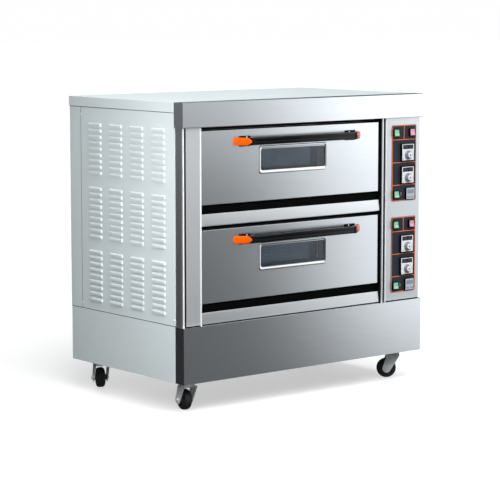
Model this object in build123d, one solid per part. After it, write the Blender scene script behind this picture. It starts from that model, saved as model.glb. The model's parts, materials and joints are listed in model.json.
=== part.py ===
from build123d import *
import math
import os

# Two-deck electric deck oven on casters, in millimetres.
# +Z is up and the floor is Z = 0. X runs across the front, and the front faces -Y.
# The origin is on the floor at the middle of the oven's box.
# A "depth" is a distance behind the plinth's front face, so it grows towards the back.

# ---- driving dimensions: casing ---------------------------------------------------
PLINTH_HALF = 610
BODY_HALF = 607
FASCIA_HALF = 613
COVER_HALF = 609
BODY_DEPTH = 744
CASING_DEPTH = 742
PLINTH_DEPTH = 734
GLAND_REACH = 17
BODY_TOP = 1167
PLINTH_BOTTOM = 118
PLINTH_TOP = 331
FASCIA_BOTTOM = 1073
COVER_SKIRT = 38
COVER_ROUND = 2
SHEET = 1.5
WRAP_DEPTH = 53
PLINTH_ROUND = 3
PLINTH_LOWER_LEDGE = 6
FASCIA_ROUND = 2.5
SIDE_PANEL_END = 664.5
POST_WIDTH = 40
POST_ROUND = 3
PILLAR_DEPTH = 12
PILLAR_ROUND = 9
JAMB_ROUND = 3
OPENING_LEFT = -517
OPENING_RIGHT = 399
JAMB_WIDTH = 9
COLUMN_LEFT = 417
HEAD_LEDGE = 27

# ---- driving dimensions: louvres, screws and cable gland ------------------------------
LOUVRE_COLUMNS = 4
LOUVRE_GROUPS = 3
LOUVRE_ROWS = 9
LOUVRE_LENGTH = 80
LOUVRE_RISE = 12
LOUVRE_BULGE = 6
LOUVRE_PITCH_Y = 136.5
LOUVRE_PITCH_Z = 23.5
LOUVRE_GROUP_PITCH = 249
LOUVRE_TOP = 1067
LOUVRE_MIDDLE = 361
HOOD_SHEET = 1.2
LOWER_SCREWS = 353
UPPER_SCREWS = 1099
SIDE_SCREWS = [(depth, z) for depth in (64.5, 659) for z in (LOWER_SCREWS, UPPER_SCREWS)]
REAR_SCREWS = [(x, z) for x in (-555, 0, 555) for z in (LOWER_SCREWS, 720, UPPER_SCREWS)]
SCREW_HOLE = 2.2
SCREW_LENGTH = 8
PAN_HEAD_RADIUS = 5
PAN_HEAD_HEIGHT = 2.4
GLAND_X = 500
GLAND_Z = 390
GLAND_RADIUS = 10
GLAND_NUT_RADIUS = 15
GLAND_NUT_HEIGHT = 7
GLAND_DOME_RADIUS = 13
GLAND_LOCKNUT_RADIUS = 14
GLAND_LOCKNUT_HEIGHT = 6.5

# ---- driving dimensions: decks and doors --------------------------------------------
DECK_PITCH = 371
SILL_HEIGHT = 45.5
SILL_THICKNESS = 2
SILL_ROUND = 1.2
SIDE_CLEARANCE = 2.5
LOWER_CLEARANCE = 6
SILL_LAP = 4
HEAD_GAP = 14
LOWER_DOOR_BOTTOM = 410
DECKS = {"lower": LOWER_DOOR_BOTTOM, "upper": LOWER_DOOR_BOTTOM + DECK_PITCH}
DOOR_LEFT = -508
DOOR_RIGHT = 390
DOOR_CENTRE = (DOOR_LEFT + DOOR_RIGHT) / 2
DOOR_HEIGHT = 278
DOOR_FACE = 24
DOOR_BACK = 74
DOOR_ROUND = 2.5
LINER_DEPTH = 50
LINER_PLAY = 0.2
EAR_LENGTH = 10
EAR_HEIGHT = 26
PIVOT_DEPTH = 32
PIVOT_LIFT = 10
PIN_RADIUS = 4
PIN_HOLE_OUTER = 5
PIN_HOLE_INNER = 9
RUNNING_GAP = 0.05
BODY_GAP = 0.3
WINDOW_TOP = 80
GLASS_WIDTH = 326
GLASS_HEIGHT = 81
RIM_WIDTH = 343
RIM_HEIGHT = 108
RIM_PROUD = 3
RIM_ROUND = 10
GLASS_ROUND = 8
PANE = 4
TUNNEL_WIDTH = 330
TUNNEL_HEIGHT = 85
BRACKET_BACK = 48
BRACKET_FRONT = 22
BRACKET_HALF_HEIGHT = 20
BRACKET_THICKNESS = 8
BAR_FACE = 26.5
BOTTOM_BAR_SETBACK = 3
TOP_BAR = (283, 292)
SEAM_DEPTH = (18, 40)

# ---- driving dimensions: handle -------------------------------------------------------
HANDLE_CENTRE = -33
HANDLE_DROP = 46
HANDLE_REACH = 47
HANDLE_HEIGHT = 28
BAR_THICKNESS = 15
BAR_ROUND = 5
FOOT_HALF = 329
TIP_HALF = 271
BAR_END_SETBACK = 15
BRACKET_WIDTH = 38
FOOT_LENGTH = 50
FOOT_THICKNESS = 4
FOOT_EXTRA_HEIGHT = 12
CAP_THICKNESS = 3
CAP_HEIGHT = 29

# ---- driving dimensions: baking chambers ------------------------------------------------
CHAMBER_LEFT = -494
CHAMBER_RIGHT = 376
CHAMBER_FRONT = 75
CHAMBER_BACK = 695
CHAMBER_FLOOR = 12
CHAMBER_ROOF = 262
HEARTH_TOP = 52
HEARTH_THICKNESS = 5
ELEMENT_RADIUS = 5
LOWER_ELEMENT_RISE = 26
UPPER_ELEMENT_RISE = 248
ELEMENT_PITCH = 190
ELEMENT_BEND = 45
ELEMENT_LEFT = CHAMBER_LEFT + 30
ELEMENT_MIDDLE = (CHAMBER_FRONT + CHAMBER_BACK) / 2
ELEMENT_DEPTHS = [ELEMENT_MIDDLE + step * ELEMENT_PITCH for step in (-1, 0, 1)]
TERMINAL_END = 422
LEDGE_WIDTH = 20
LEDGE_THICKNESS = 2
FLANGE_DROP = 20
FLANGE_RISE = 13
WOOL_BACK = 735
WOOL_BELOW = 40
WOOL_ABOVE = 36
WOOL_LEFT = 45
WOOL_RIGHT = 34
LAMP_DEPTH = 150
LAMP_RISE = 160
LAMP_RADIUS = 20
LENS_RADIUS = 26
LENS_THICKNESS = 6
SENSOR_DEPTHS = (ELEMENT_MIDDLE - ELEMENT_PITCH / 2, ELEMENT_MIDDLE + ELEMENT_PITCH / 2)
SENSOR_RISES = (242, 26)
SENSOR_RADIUS = 3
SENSOR_LENGTH = 120
SENSOR_HEAD_RADIUS = 8
SENSOR_HEAD_LENGTH = 14

# ---- driving dimensions: chassis and casters ----------------------------------------------
TUBE = 30
TUBE_WALL = 2
FRAME_BOTTOM = 122
FRAME_HALF = 605
FRONT_RAIL = (8, 38)
REAR_RAIL = (700, 730)
FRONT_UPRIGHT = (100, 130)
TOP_FRONT_RAIL = (28, 58)
TOP_RAILS = (1130, 1160)
DECK_RAIL_DROP = 70
PAN_X = (-574, 574)
PAN_DEPTH = (60, 698)
PAN_Z = (336, 337.5)
GEAR_PLATE_X = (440, 441.5)
GEAR_PLATE_DEPTH = (150, 560)
GEAR_PLATE_Z = (430, 690)
WHEEL_RADIUS = 40
WHEEL_WIDTH = 32
TRAIL = 28
FORK_INNER = 26
FORK_SHEET = 3
AXLE_RADIUS = 4
AXLE_NUT_RADIUS = 7.5
AXLE_NUT_HEIGHT = 6
HUB_RADIUS = 12
HUB_HALF = 25.4
RIM_INNER = 25
WEB_WIDTH = 16
TREAD_ROUND = 10
KINGPIN_RADIUS = 6
RIVET_RADIUS = 9
RIVET_HEIGHT = 4
BOLT_SPACING = (75, 45)
PLATE_SIZE = (95, 75, 4)
PLATE_BOTTOM = FRAME_BOTTOM - PLATE_SIZE[2]
PLATE_ROUND = 8
BOLT_RADIUS = 4
BOLT_HEAD_RADIUS = 7.5
BOLT_HEAD_HEIGHT = 5.3
RACE_RADIUS = 28
RACE_BOTTOM = 114
CUP_RADIUS = 25
CROWN_TOP = 98
CROWN_SHEET = 4
CROWN_ROUND = 3
LEG_WIDTH = (-24, 26)
LEG_FOOT_RADIUS = 17
CASTERS = {
    "front_left": (-533, 80, 80),
    "front_right": (533, 80, 141),
    "rear_left": (-533, 645, 66),
    "rear_right": (533, 645, 118),
}

# ---- driving dimensions: control column ---------------------------------------------------
PLATE_CENTRE = 518.5
PLATE_WIDTH = 134
PLATE_HEIGHT = 307
PLATE_RISE = 262
PLATE_THICKNESS = 1.2
PLATE_CORNER = 6
PANEL_FACE = PILLAR_DEPTH - PLATE_THICKNESS
COVER_CORNER = 4
CONTROLLER_X = 533.5
CONTROLLER_DROPS = (110, 201.5)
CONTROLLER_SIZE = 72
CONTROLLER_PROUD = 8.5
CONTROLLER_FACE = 66
CONTROLLER_HOLE = 68
CONTROLLER_BACK = 90
FACE_SINK = 1
KNOB_DROP = 11
KNOB_RADIUS = 18
KNOB_SKIRT = 4
KNOB_HEIGHT = 14
SPINDLE_RADIUS = 3
SPINDLE_LENGTH = 10
TIMER_X = 548.5
TIMER_DROP = 278
TIMER_SIZE = 48
TIMER_PROUD = 8
TIMER_CASE = 44
TIMER_HOLE = 45
TIMER_BACK = 80
KEY_SIZE = (16.4, 8.4)
KEY_WELL = (17, 9)
KEY_WELL_DEPTH = 6
KEY_LENGTH = 4
KEY_PROUD = 1.2
KEY_DROP = 13
KEY_OFFSET = 10.5
SWITCHES = {"heat": (471, 31), "lamp": (558, 31), "steam": (472.5, 279)}
SWITCH_WIDTH = 30
SWITCH_HEIGHT = 33
SWITCH_PROUD = 7.8
SWITCH_CASE = (26.6, 29.6)
SWITCH_HOLE = (27, 30)
SWITCH_BACK = 34
SWITCH_POCKET_BACK = 22
ROCKER_RADIUS = 13.5
ROCKER_WIDTH = 24
ROCKER_PIVOT = 6.5
ROCKER_TILT = 10
ROCKER_END_REACH = 5.1
ROCKER_MIDDLE_REACH = 3.5
CONTACTORS = 4
CONTACTOR_PITCH = 62
CONTACTOR_START = 175
CONTACTOR_SIZE = (80, 46)
CONTACTOR_Z = (590, 665)
ARMATURE_REACH = 8
ARMATURE_Z = (605, 650)
TERMINAL_BLOCK_REACH = 45
TERMINAL_BLOCK_DEPTH = (175, 407)
TERMINAL_BLOCK_Z = (460, 490)

# ---- derived places ------------------------------------------------------------------------
FRONT_Y = -(CASING_DEPTH + GLAND_REACH + DOOR_FACE - HANDLE_REACH) / 2
SIDES = (-1, 1)


def block(x, depth, z):
    """A solid box between the limits given, with depth measured from the plinth's front."""
    size = (x[1] - x[0], depth[1] - depth[0], z[1] - z[0])
    middle = (sum(x) / 2, FRONT_Y + sum(depth) / 2, sum(z) / 2)
    return Pos(*middle) * Box(*size)


def rod_x(x, depth, z, radius):
    """A round rod along X."""
    return Pos(sum(x) / 2, FRONT_Y + depth, z) * Rot(0, 90, 0) * Cylinder(radius, x[1] - x[0])


def rod_y(x, depth, z, radius):
    """A round rod along Y."""
    return Pos(x, FRONT_Y + sum(depth) / 2, z) * Rot(90, 0, 0) * Cylinder(radius, depth[1] - depth[0])


def rod_z(x, depth, z, radius):
    """A round rod along Z."""
    return Pos(x, FRONT_Y + depth, sum(z) / 2) * Cylinder(radius, z[1] - z[0])


def rounded_block(x, depth, z, radius):
    """A box whose four corners, seen from the front, are rounded."""
    solid = block(x, depth, z)
    return fillet(solid.edges().filter_by(Axis.Y), radius)


def channel(x, depth, z, radius):
    """Folded sheet with a front face and two sides that run back, open at the ends and the back."""
    outer = block(x, depth, z)
    outer = fillet(outer.edges().filter_by(Axis.Z).group_by(Axis.Y)[0], radius)
    inner = block((x[0] + SHEET, x[1] - SHEET), (depth[0] + SHEET, depth[1] + 1), (z[0] - 1, z[1] + 1))
    inner = fillet(inner.edges().filter_by(Axis.Z).group_by(Axis.Y)[0], radius - SHEET)
    return outer - inner


def tray(x, depth, z, radius):
    """Folded sheet with a front face and all four sides running back, open at the back."""
    outer = block(x, depth, z)
    outer = fillet(outer.faces().sort_by(Axis.Y)[0].edges(), radius)
    inner_x = (x[0] + SHEET, x[1] - SHEET)
    inner_z = (z[0] + SHEET, z[1] - SHEET)
    return outer - block(inner_x, (depth[0] + SHEET, depth[1] + 1), inner_z)


def tube(x, depth, z):
    """Hollow box section along its longest side, open at both ends."""
    limits = [list(x), list(depth), list(z)]
    lengths = [high - low for low, high in limits]
    along = lengths.index(max(lengths))
    hollow = [[low + TUBE_WALL, high - TUBE_WALL] for low, high in limits]
    hollow[along] = [limits[along][0] - 1, limits[along][1] + 1]
    return block(*limits) - block(*hollow)


def centred(middle, size):
    """Low and high limit of a size about its middle."""
    return (middle - size / 2, middle + size / 2)


def span(first, second):
    """Two limits in rising order."""
    return (min(first, second), max(first, second))


def save(name, *pieces):
    """Write one node. Each piece stays a solid of its own."""
    solids = [solid for piece in pieces for solid in piece.solids()]
    shape = solids[0] if len(solids) == 1 else Compound(children=solids)
    export_step(shape, f"parts/{name}.step")


# ---- chassis ---------------------------------------------------------------------------------
def chassis_tubes():
    """Welded chassis: base rails, four uprights, top rails and two rails under each deck."""
    base = (FRAME_BOTTOM, FRAME_BOTTOM + TUBE)
    inner_half = FRAME_HALF - TUBE
    tubes = [tube((-FRAME_HALF, FRAME_HALF), rail, base) for rail in (FRONT_RAIL, REAR_RAIL)]
    tubes += [tube((-FRAME_HALF, FRAME_HALF), rail, TOP_RAILS) for rail in (TOP_FRONT_RAIL, REAR_RAIL)]
    for depth in sorted({place[1] for place in CASTERS.values()}):
        tubes.append(tube((-inner_half, inner_half), (depth - TUBE, depth + TUBE), base))
    for side in SIDES:
        across = span(side * inner_half, side * FRAME_HALF)
        tubes.append(tube(across, (FRONT_RAIL[1], REAR_RAIL[0]), base))
        tubes.append(tube(across, (TOP_FRONT_RAIL[1], REAR_RAIL[0]), TOP_RAILS))
        tubes += [tube(across, depths, (base[1], TOP_RAILS[0])) for depths in (FRONT_UPRIGHT, REAR_RAIL)]
    for door_bottom in DECKS.values():
        rail_z = (door_bottom - DECK_RAIL_DROP, door_bottom - DECK_RAIL_DROP + TUBE)
        tubes += [tube((-inner_half, inner_half), depths, rail_z) for depths in (FRONT_UPRIGHT, REAR_RAIL)]
    return tubes


def inner_sheets():
    """The pan under the lower deck, and the upright plate that carries the switchgear."""
    return [block(PAN_X, PAN_DEPTH, PAN_Z), block(GEAR_PLATE_X, GEAR_PLATE_DEPTH, GEAR_PLATE_Z)]


# ---- casing ----------------------------------------------------------------------------------
def plinth_front():
    """Stainless plinth with ends folded back round the sides and a narrow ledge at the top and bottom."""
    z = (PLINTH_BOTTOM, PLINTH_TOP)
    shell = channel((-PLINTH_HALF, PLINTH_HALF), (0, WRAP_DEPTH), z, PLINTH_ROUND)
    inside = (-PLINTH_HALF + SHEET, PLINTH_HALF - SHEET)
    for low, reach in ((PLINTH_BOTTOM, PLINTH_LOWER_LEDGE), (PLINTH_TOP - SHEET, HEAD_LEDGE)):
        shell += block(inside, (SHEET, reach), (low, low + SHEET))
    return shell


def plinth_panels():
    """Painted plinth sheets at the two sides and the rear."""
    z = (PLINTH_BOTTOM, PLINTH_TOP)
    panels = []
    for side in SIDES:
        across = span(side * PLINTH_HALF, side * (PLINTH_HALF - SHEET))
        panels.append(block(across, (WRAP_DEPTH, PLINTH_DEPTH), z))
    rear = (-PLINTH_HALF + SHEET, PLINTH_HALF - SHEET)
    panels.append(block(rear, (PLINTH_DEPTH - SHEET, PLINTH_DEPTH), z))
    return panels


def hood(length, rise, bulge):
    """A pressed louvre on the +X side of the YZ plane, its mouth facing down at Z = 0."""
    solid = Pos(bulge / 2, 0, rise / 2) * Box(bulge, length, rise)
    outer_edges = solid.faces().sort_by(Axis.X)[-1].edges()
    lip = outer_edges.sort_by(Axis.Z)[0]
    return fillet([edge for edge in outer_edges if edge != lip], bulge * 0.8)


def louvred_panel(side):
    """Painted side panel with three groups of louvres; side is -1 for the left one, 1 for the right."""
    face = BODY_HALF
    sheet = block((face - SHEET, face), (WRAP_DEPTH, SIDE_PANEL_END), (PLINTH_TOP, BODY_TOP - COVER_SKIRT))
    outside = hood(LOUVRE_LENGTH, LOUVRE_RISE, LOUVRE_BULGE)
    hollow_rise = LOUVRE_RISE - HOOD_SHEET
    hollow_length = LOUVRE_LENGTH - 2 * HOOD_SHEET
    inside = hood(hollow_length, hollow_rise, LOUVRE_BULGE - HOOD_SHEET)
    inside += Pos(-SHEET, 0, hollow_rise / 2) * Box(2 * SHEET, hollow_length, hollow_rise)
    places = []
    for column in range(LOUVRE_COLUMNS):
        y = FRONT_Y + LOUVRE_MIDDLE + (column - (LOUVRE_COLUMNS - 1) / 2) * LOUVRE_PITCH_Y
        for group in range(LOUVRE_GROUPS):
            for row in range(LOUVRE_ROWS):
                z = LOUVRE_TOP - LOUVRE_RISE - group * LOUVRE_GROUP_PITCH - row * LOUVRE_PITCH_Z
                places.append(Pos(face, y, z))
    panel = sheet + [place * outside for place in places]
    panel = panel - [place * inside for place in places]
    panel -= [rod_x((face - 5, face + 5), depth, z, SCREW_HOLE) for depth, z in SIDE_SCREWS]
    return panel if side > 0 else mirror(panel, Plane.YZ)


def rear_casing():
    """Two painted corner posts and the back panel between them."""
    z = (PLINTH_TOP, BODY_TOP - COVER_SKIRT)
    pieces = []
    for side in SIDES:
        post_x = span(side * BODY_HALF, side * (BODY_HALF - POST_WIDTH))
        outer = block(post_x, (SIDE_PANEL_END, CASING_DEPTH), z)
        corner = outer.edges().filter_by(Axis.Z).group_by(Axis.Y)[-1].sort_by(Axis.X)[0 if side < 0 else -1]
        outer = fillet(corner, POST_ROUND)
        across = span(side * (BODY_HALF - SHEET), side * (BODY_HALF - POST_WIDTH - 1))
        inner = block(across, (SIDE_PANEL_END - 1, CASING_DEPTH - SHEET), (z[0] - 1, z[1] + 1))
        pieces.append(outer - inner)
    half = BODY_HALF - POST_WIDTH
    panel = block((-half, half), (CASING_DEPTH - SHEET, CASING_DEPTH), z)
    through = (CASING_DEPTH - 5, CASING_DEPTH + 5)
    panel -= rod_y(GLAND_X, through, GLAND_Z, GLAND_RADIUS + RUNNING_GAP)
    panel -= [rod_y(x, through, screw_z, SCREW_HOLE) for x, screw_z in REAR_SCREWS]
    pieces.append(panel)
    return pieces


def top_cover():
    """Painted lid with its edges turned down over the sides and the back."""
    z = (BODY_TOP - COVER_SKIRT, BODY_TOP)
    lid = block((-COVER_HALF, COVER_HALF), (WRAP_DEPTH, BODY_DEPTH), z)
    lid = fillet(lid.edges().group_by(Axis.Z)[-1].sort_by(Axis.Y)[1:], COVER_ROUND)
    inside = (-COVER_HALF + SHEET, COVER_HALF - SHEET)
    return lid - block(inside, (WRAP_DEPTH - 1, BODY_DEPTH - SHEET), (z[0] - 1, z[1] - SHEET))


def top_fascia():
    """Stainless head across the front, folded round the sides and over the top."""
    z = (FASCIA_BOTTOM, BODY_TOP)
    shell = tray((-FASCIA_HALF, FASCIA_HALF), (0, WRAP_DEPTH), z, FASCIA_ROUND)
    inside = (-FASCIA_HALF + SHEET, FASCIA_HALF - SHEET)
    return shell - block(inside, (HEAD_LEDGE, WRAP_DEPTH + 1), (z[0] - 1, z[0] + SHEET + 1))


def pin_holes(shape):
    """Clearance holes for the door hinge pins, through whatever lies beside the door opening."""
    holes = []
    for door_bottom in DECKS.values():
        z = door_bottom + PIVOT_LIFT
        left = (OPENING_LEFT - PIN_HOLE_OUTER, OPENING_LEFT + PIN_HOLE_INNER)
        right = (OPENING_RIGHT - PIN_HOLE_INNER, OPENING_RIGHT + PIN_HOLE_OUTER)
        holes += [rod_x(x, PIVOT_DEPTH, z, PIN_RADIUS + RUNNING_GAP) for x in (left, right)]
    return shape - holes


def sill_top(door_bottom):
    """Top of the sill strip below a door."""
    return door_bottom + DOOR_HEIGHT + HEAD_GAP - DECK_PITCH + SILL_HEIGHT


def front_surround():
    """Stainless left pillar, right jamb strip, and the sill strip below each door."""
    z = (PLINTH_TOP, FASCIA_BOTTOM)
    pillar = channel((-BODY_HALF, OPENING_LEFT), (PILLAR_DEPTH, WRAP_DEPTH), z, PILLAR_ROUND)
    jamb = channel((OPENING_RIGHT, OPENING_RIGHT + JAMB_WIDTH), (PILLAR_DEPTH, WRAP_DEPTH), z, JAMB_ROUND)
    pieces = [pin_holes(pillar), pin_holes(jamb)]
    for door_bottom in DECKS.values():
        top = sill_top(door_bottom)
        depth = (DOOR_FACE, DOOR_FACE + SILL_THICKNESS)
        sill = block((OPENING_LEFT, OPENING_RIGHT), depth, (top - SILL_HEIGHT, top))
        pieces.append(fillet(sill.edges().filter_by(Axis.X).group_by(Axis.Y)[0], SILL_ROUND))
    return pieces


def recess_bars():
    """Black bars that line the recess round each door, and the black seam beside the control column."""
    bars = []
    depth = (BAR_FACE, DOOR_BACK)
    for door_bottom in DECKS.values():
        side_z = (door_bottom - LOWER_CLEARANCE, door_bottom + TOP_BAR[0])
        lower_depth = (BAR_FACE + BOTTOM_BAR_SETBACK, DOOR_BACK)
        lower_z = (sill_top(door_bottom) - SILL_LAP, side_z[0])
        bars.append(block((OPENING_LEFT, OPENING_RIGHT), lower_depth, lower_z))
        bars.append(block((OPENING_LEFT, OPENING_RIGHT), depth, (side_z[1], door_bottom + TOP_BAR[1])))
        left = (OPENING_LEFT, DOOR_LEFT - SIDE_CLEARANCE)
        right = (DOOR_RIGHT + SIDE_CLEARANCE, OPENING_RIGHT)
        bars += [pin_holes(block(x, depth, side_z)) for x in (left, right)]
    seam = (OPENING_RIGHT + JAMB_WIDTH, COLUMN_LEFT)
    bars.append(block(seam, SEAM_DEPTH, (PLINTH_TOP, FASCIA_BOTTOM)))
    return bars


# ---- control column ----------------------------------------------------------------------------
def square_hole(x, z, width, height):
    """A cutter for an instrument's hole through the control column's front."""
    return block(centred(x, width), (0, 2 * PILLAR_DEPTH), centred(z, height))


def control_holes():
    """Cutters for every controller, timer and switch."""
    cutters = []
    for door_bottom in DECKS.values():
        top = door_bottom + PLATE_RISE
        for drop in CONTROLLER_DROPS:
            cutters.append(square_hole(CONTROLLER_X, top - drop, CONTROLLER_HOLE, CONTROLLER_HOLE))
        cutters.append(square_hole(TIMER_X, top - TIMER_DROP, TIMER_HOLE, TIMER_HOLE))
        cutters += [square_hole(x, top - drop, *SWITCH_HOLE) for x, drop in SWITCHES.values()]
    return cutters


def control_cover():
    """Stainless front of the control column."""
    z = (PLINTH_TOP, FASCIA_BOTTOM)
    return channel((COLUMN_LEFT, BODY_HALF), (PILLAR_DEPTH, WRAP_DEPTH), z, COVER_CORNER) - control_holes()


def control_plates():
    """The dark plate of each deck's controls."""
    x = centred(PLATE_CENTRE, PLATE_WIDTH)
    plates = []
    for door_bottom in DECKS.values():
        top = door_bottom + PLATE_RISE
        plate = rounded_block(x, (PANEL_FACE, PILLAR_DEPTH), (top - PLATE_HEIGHT, top), PLATE_CORNER)
        plates.append(plate - control_holes())
    return plates


def controller(z):
    """A temperature controller: sunk face in a square bezel, case behind the plate, spindle hole."""
    face = PANEL_FACE - CONTROLLER_PROUD
    inner_x = centred(CONTROLLER_X, CONTROLLER_FACE)
    inner_z = centred(z, CONTROLLER_FACE)
    bezel_x = centred(CONTROLLER_X, CONTROLLER_SIZE)
    bezel = rounded_block(bezel_x, (face, PANEL_FACE), centred(z, CONTROLLER_SIZE), 3)
    bezel -= block(inner_x, (face - 1, face + FACE_SINK), inner_z)
    case = block(inner_x, (PANEL_FACE, CONTROLLER_BACK), inner_z)
    socket_depth = (face, face + SPINDLE_LENGTH + 2)
    socket = rod_y(CONTROLLER_X, socket_depth, z - KNOB_DROP, SPINDLE_RADIUS + RUNNING_GAP)
    return bezel + case - socket


def timer(z):
    """A timer: square bezel with two key wells, and its case behind the plate."""
    face = PANEL_FACE - TIMER_PROUD
    bezel = rounded_block(centred(TIMER_X, TIMER_SIZE), (face, PANEL_FACE), centred(z, TIMER_SIZE), 2.5)
    for side in SIDES:
        well_x = centred(TIMER_X + side * KEY_OFFSET, KEY_WELL[0])
        bezel -= block(well_x, (face - 1, face + KEY_WELL_DEPTH), centred(z - KEY_DROP, KEY_WELL[1]))
    return bezel + block(centred(TIMER_X, TIMER_CASE), (PANEL_FACE, TIMER_BACK), centred(z, TIMER_CASE))


def instruments():
    """Two temperature controllers and a timer for each deck."""
    pieces = []
    for door_bottom in DECKS.values():
        top = door_bottom + PLATE_RISE
        pieces += [controller(top - drop) for drop in CONTROLLER_DROPS]
        pieces.append(timer(top - TIMER_DROP))
    return pieces


def timer_key(door_bottom, side):
    """One push key of a timer, standing a little out of the bezel."""
    z = door_bottom + PLATE_RISE - TIMER_DROP - KEY_DROP
    face = PANEL_FACE - TIMER_PROUD
    x = TIMER_X + side * KEY_OFFSET
    key = block(centred(x, KEY_SIZE[0]), (face - KEY_PROUD, face + KEY_LENGTH), centred(z, KEY_SIZE[1]))
    return fillet(key.faces().sort_by(Axis.Y)[0].edges(), 0.8)


def controller_knob(door_bottom, drop):
    """Turning knob: a skirt, a grip with a pointer groove, and the spindle that enters the controller."""
    z = door_bottom + PLATE_RISE - drop - KNOB_DROP
    face = PANEL_FACE - CONTROLLER_PROUD + FACE_SINK
    front = face - KNOB_HEIGHT
    skirt = rod_y(CONTROLLER_X, (face - KNOB_SKIRT, face - BODY_GAP), z, KNOB_RADIUS)
    grip = rod_y(CONTROLLER_X, (front, face - KNOB_SKIRT), z, KNOB_RADIUS * 0.75)
    grip = fillet(grip.faces().sort_by(Axis.Y)[0].edges(), 1.5)
    groove = block(centred(CONTROLLER_X, 2), (front - 1, front + 1), (z + 3, z + KNOB_RADIUS))
    spindle = rod_y(CONTROLLER_X, (face - KNOB_SKIRT, face + SPINDLE_LENGTH), z, SPINDLE_RADIUS)
    return skirt + grip + spindle - groove


def switch_bezel(x, z):
    """The frame and case of one rocker switch, with the pocket that its rocker sits in."""
    face = PANEL_FACE - SWITCH_PROUD
    frame = rounded_block(centred(x, SWITCH_WIDTH), (face, PANEL_FACE), centred(z, SWITCH_HEIGHT), 2)
    case = block(centred(x, SWITCH_CASE[0]), (PANEL_FACE, SWITCH_BACK), centred(z, SWITCH_CASE[1]))
    pocket_x = centred(x, ROCKER_WIDTH + 2 * BODY_GAP)
    pocket_z = centred(z, 2 * (ROCKER_RADIUS + BODY_GAP))
    return frame + case - block(pocket_x, (face - 1, SWITCH_POCKET_BACK), pocket_z)


def switch_bezels():
    """The fixed part of every rocker switch."""
    tops = [door_bottom + PLATE_RISE for door_bottom in DECKS.values()]
    return [switch_bezel(x, top - drop) for top in tops for x, drop in SWITCHES.values()]


def rocker(door_bottom, x, drop):
    """A rocker: a round-backed key with a shallow V face, tipped in at the top."""
    corner = math.sqrt(ROCKER_RADIUS**2 - ROCKER_END_REACH**2)
    front = 2 * ROCKER_RADIUS
    face = [(-ROCKER_END_REACH, corner), (-ROCKER_MIDDLE_REACH, 0), (-ROCKER_END_REACH, -corner)]
    cut_away = make_face(Polyline(*face, (-front, -front), (-front, front), close=True))
    solid = extrude(Plane.YZ * (Circle(ROCKER_RADIUS) - cut_away), ROCKER_WIDTH)
    z = door_bottom + PLATE_RISE - drop
    return Pos(x - ROCKER_WIDTH / 2, FRONT_Y + ROCKER_PIVOT, z) * Rot(-ROCKER_TILT, 0, 0) * solid


# ---- doors -------------------------------------------------------------------------------------
def window_z(door_bottom):
    """Height of the window's centre."""
    return door_bottom + DOOR_HEIGHT - WINDOW_TOP - GLASS_HEIGHT / 2


def door_panel(door_bottom):
    """Outer skin of a door: a folded tray with the window cut-out and two pin holes."""
    door_z = (door_bottom, door_bottom + DOOR_HEIGHT)
    skin = tray((DOOR_LEFT, DOOR_RIGHT), (DOOR_FACE, DOOR_BACK - 4), door_z, DOOR_ROUND)
    window = centred(window_z(door_bottom), TUNNEL_HEIGHT)
    skin -= block(centred(DOOR_CENTRE, TUNNEL_WIDTH), (0, LINER_DEPTH), window)
    pivot_z = door_bottom + PIVOT_LIFT
    return skin - rod_x((DOOR_LEFT - 5, DOOR_RIGHT + 5), PIVOT_DEPTH, pivot_z, PIN_RADIUS + 1)


def door_liner(door_bottom):
    """Inner pan of a door, with a tunnel round the window and a bored ear for each hinge pin."""
    inset = SHEET + LINER_PLAY
    x = (DOOR_LEFT + inset, DOOR_RIGHT - inset)
    z = (door_bottom + inset, door_bottom + DOOR_HEIGHT - inset)
    pan = block(x, (LINER_DEPTH, DOOR_BACK), z)
    pan_x = (x[0] + SHEET, x[1] - SHEET)
    pan -= block(pan_x, (LINER_DEPTH - 1, DOOR_BACK - SHEET), (z[0] + SHEET, z[1] - SHEET))
    window = window_z(door_bottom)
    front = DOOR_FACE + SHEET + 0.5
    tunnel_x = centred(DOOR_CENTRE, TUNNEL_WIDTH + 2 * SHEET)
    pan += block(tunnel_x, (front, DOOR_BACK), centred(window, TUNNEL_HEIGHT + 2 * SHEET))
    pan -= block(centred(DOOR_CENTRE, TUNNEL_WIDTH), (0, DOOR_BACK + 1), centred(window, TUNNEL_HEIGHT))
    for ear_x in ((x[0], x[0] + EAR_LENGTH), (x[1] - EAR_LENGTH, x[1])):
        pan += block(ear_x, (front, LINER_DEPTH + 10), (z[0], z[0] + EAR_HEIGHT))
    pivot_z = door_bottom + PIVOT_LIFT
    return pan - rod_x((DOOR_LEFT, DOOR_RIGHT), PIVOT_DEPTH, pivot_z, PIN_RADIUS + RUNNING_GAP)


def window_frame(door_bottom):
    """Pressed stainless rim on the face of the door."""
    z = window_z(door_bottom)
    depth = (DOOR_FACE - RIM_PROUD, DOOR_FACE)
    rim = rounded_block(centred(DOOR_CENTRE, RIM_WIDTH), depth, centred(z, RIM_HEIGHT), RIM_ROUND)
    rim = fillet(rim.faces().sort_by(Axis.Y)[0].edges(), RIM_PROUD - 1)
    glass_x = centred(DOOR_CENTRE, GLASS_WIDTH)
    return rim - rounded_block(glass_x, (0, 2 * DOOR_FACE), centred(z, GLASS_HEIGHT), GLASS_ROUND)


def window_glass(door_bottom):
    """Outer and inner pane, held in the tunnel."""
    x = centred(DOOR_CENTRE, TUNNEL_WIDTH - 1)
    z = centred(window_z(door_bottom), TUNNEL_HEIGHT - 1)
    return [block(x, (front, front + PANE), z) for front in (DOOR_FACE + 1, DOOR_BACK - 1 - PANE)]


def handle_z(door_bottom):
    """Height of the handle's middle."""
    return door_bottom + DOOR_HEIGHT - HANDLE_DROP


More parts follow.
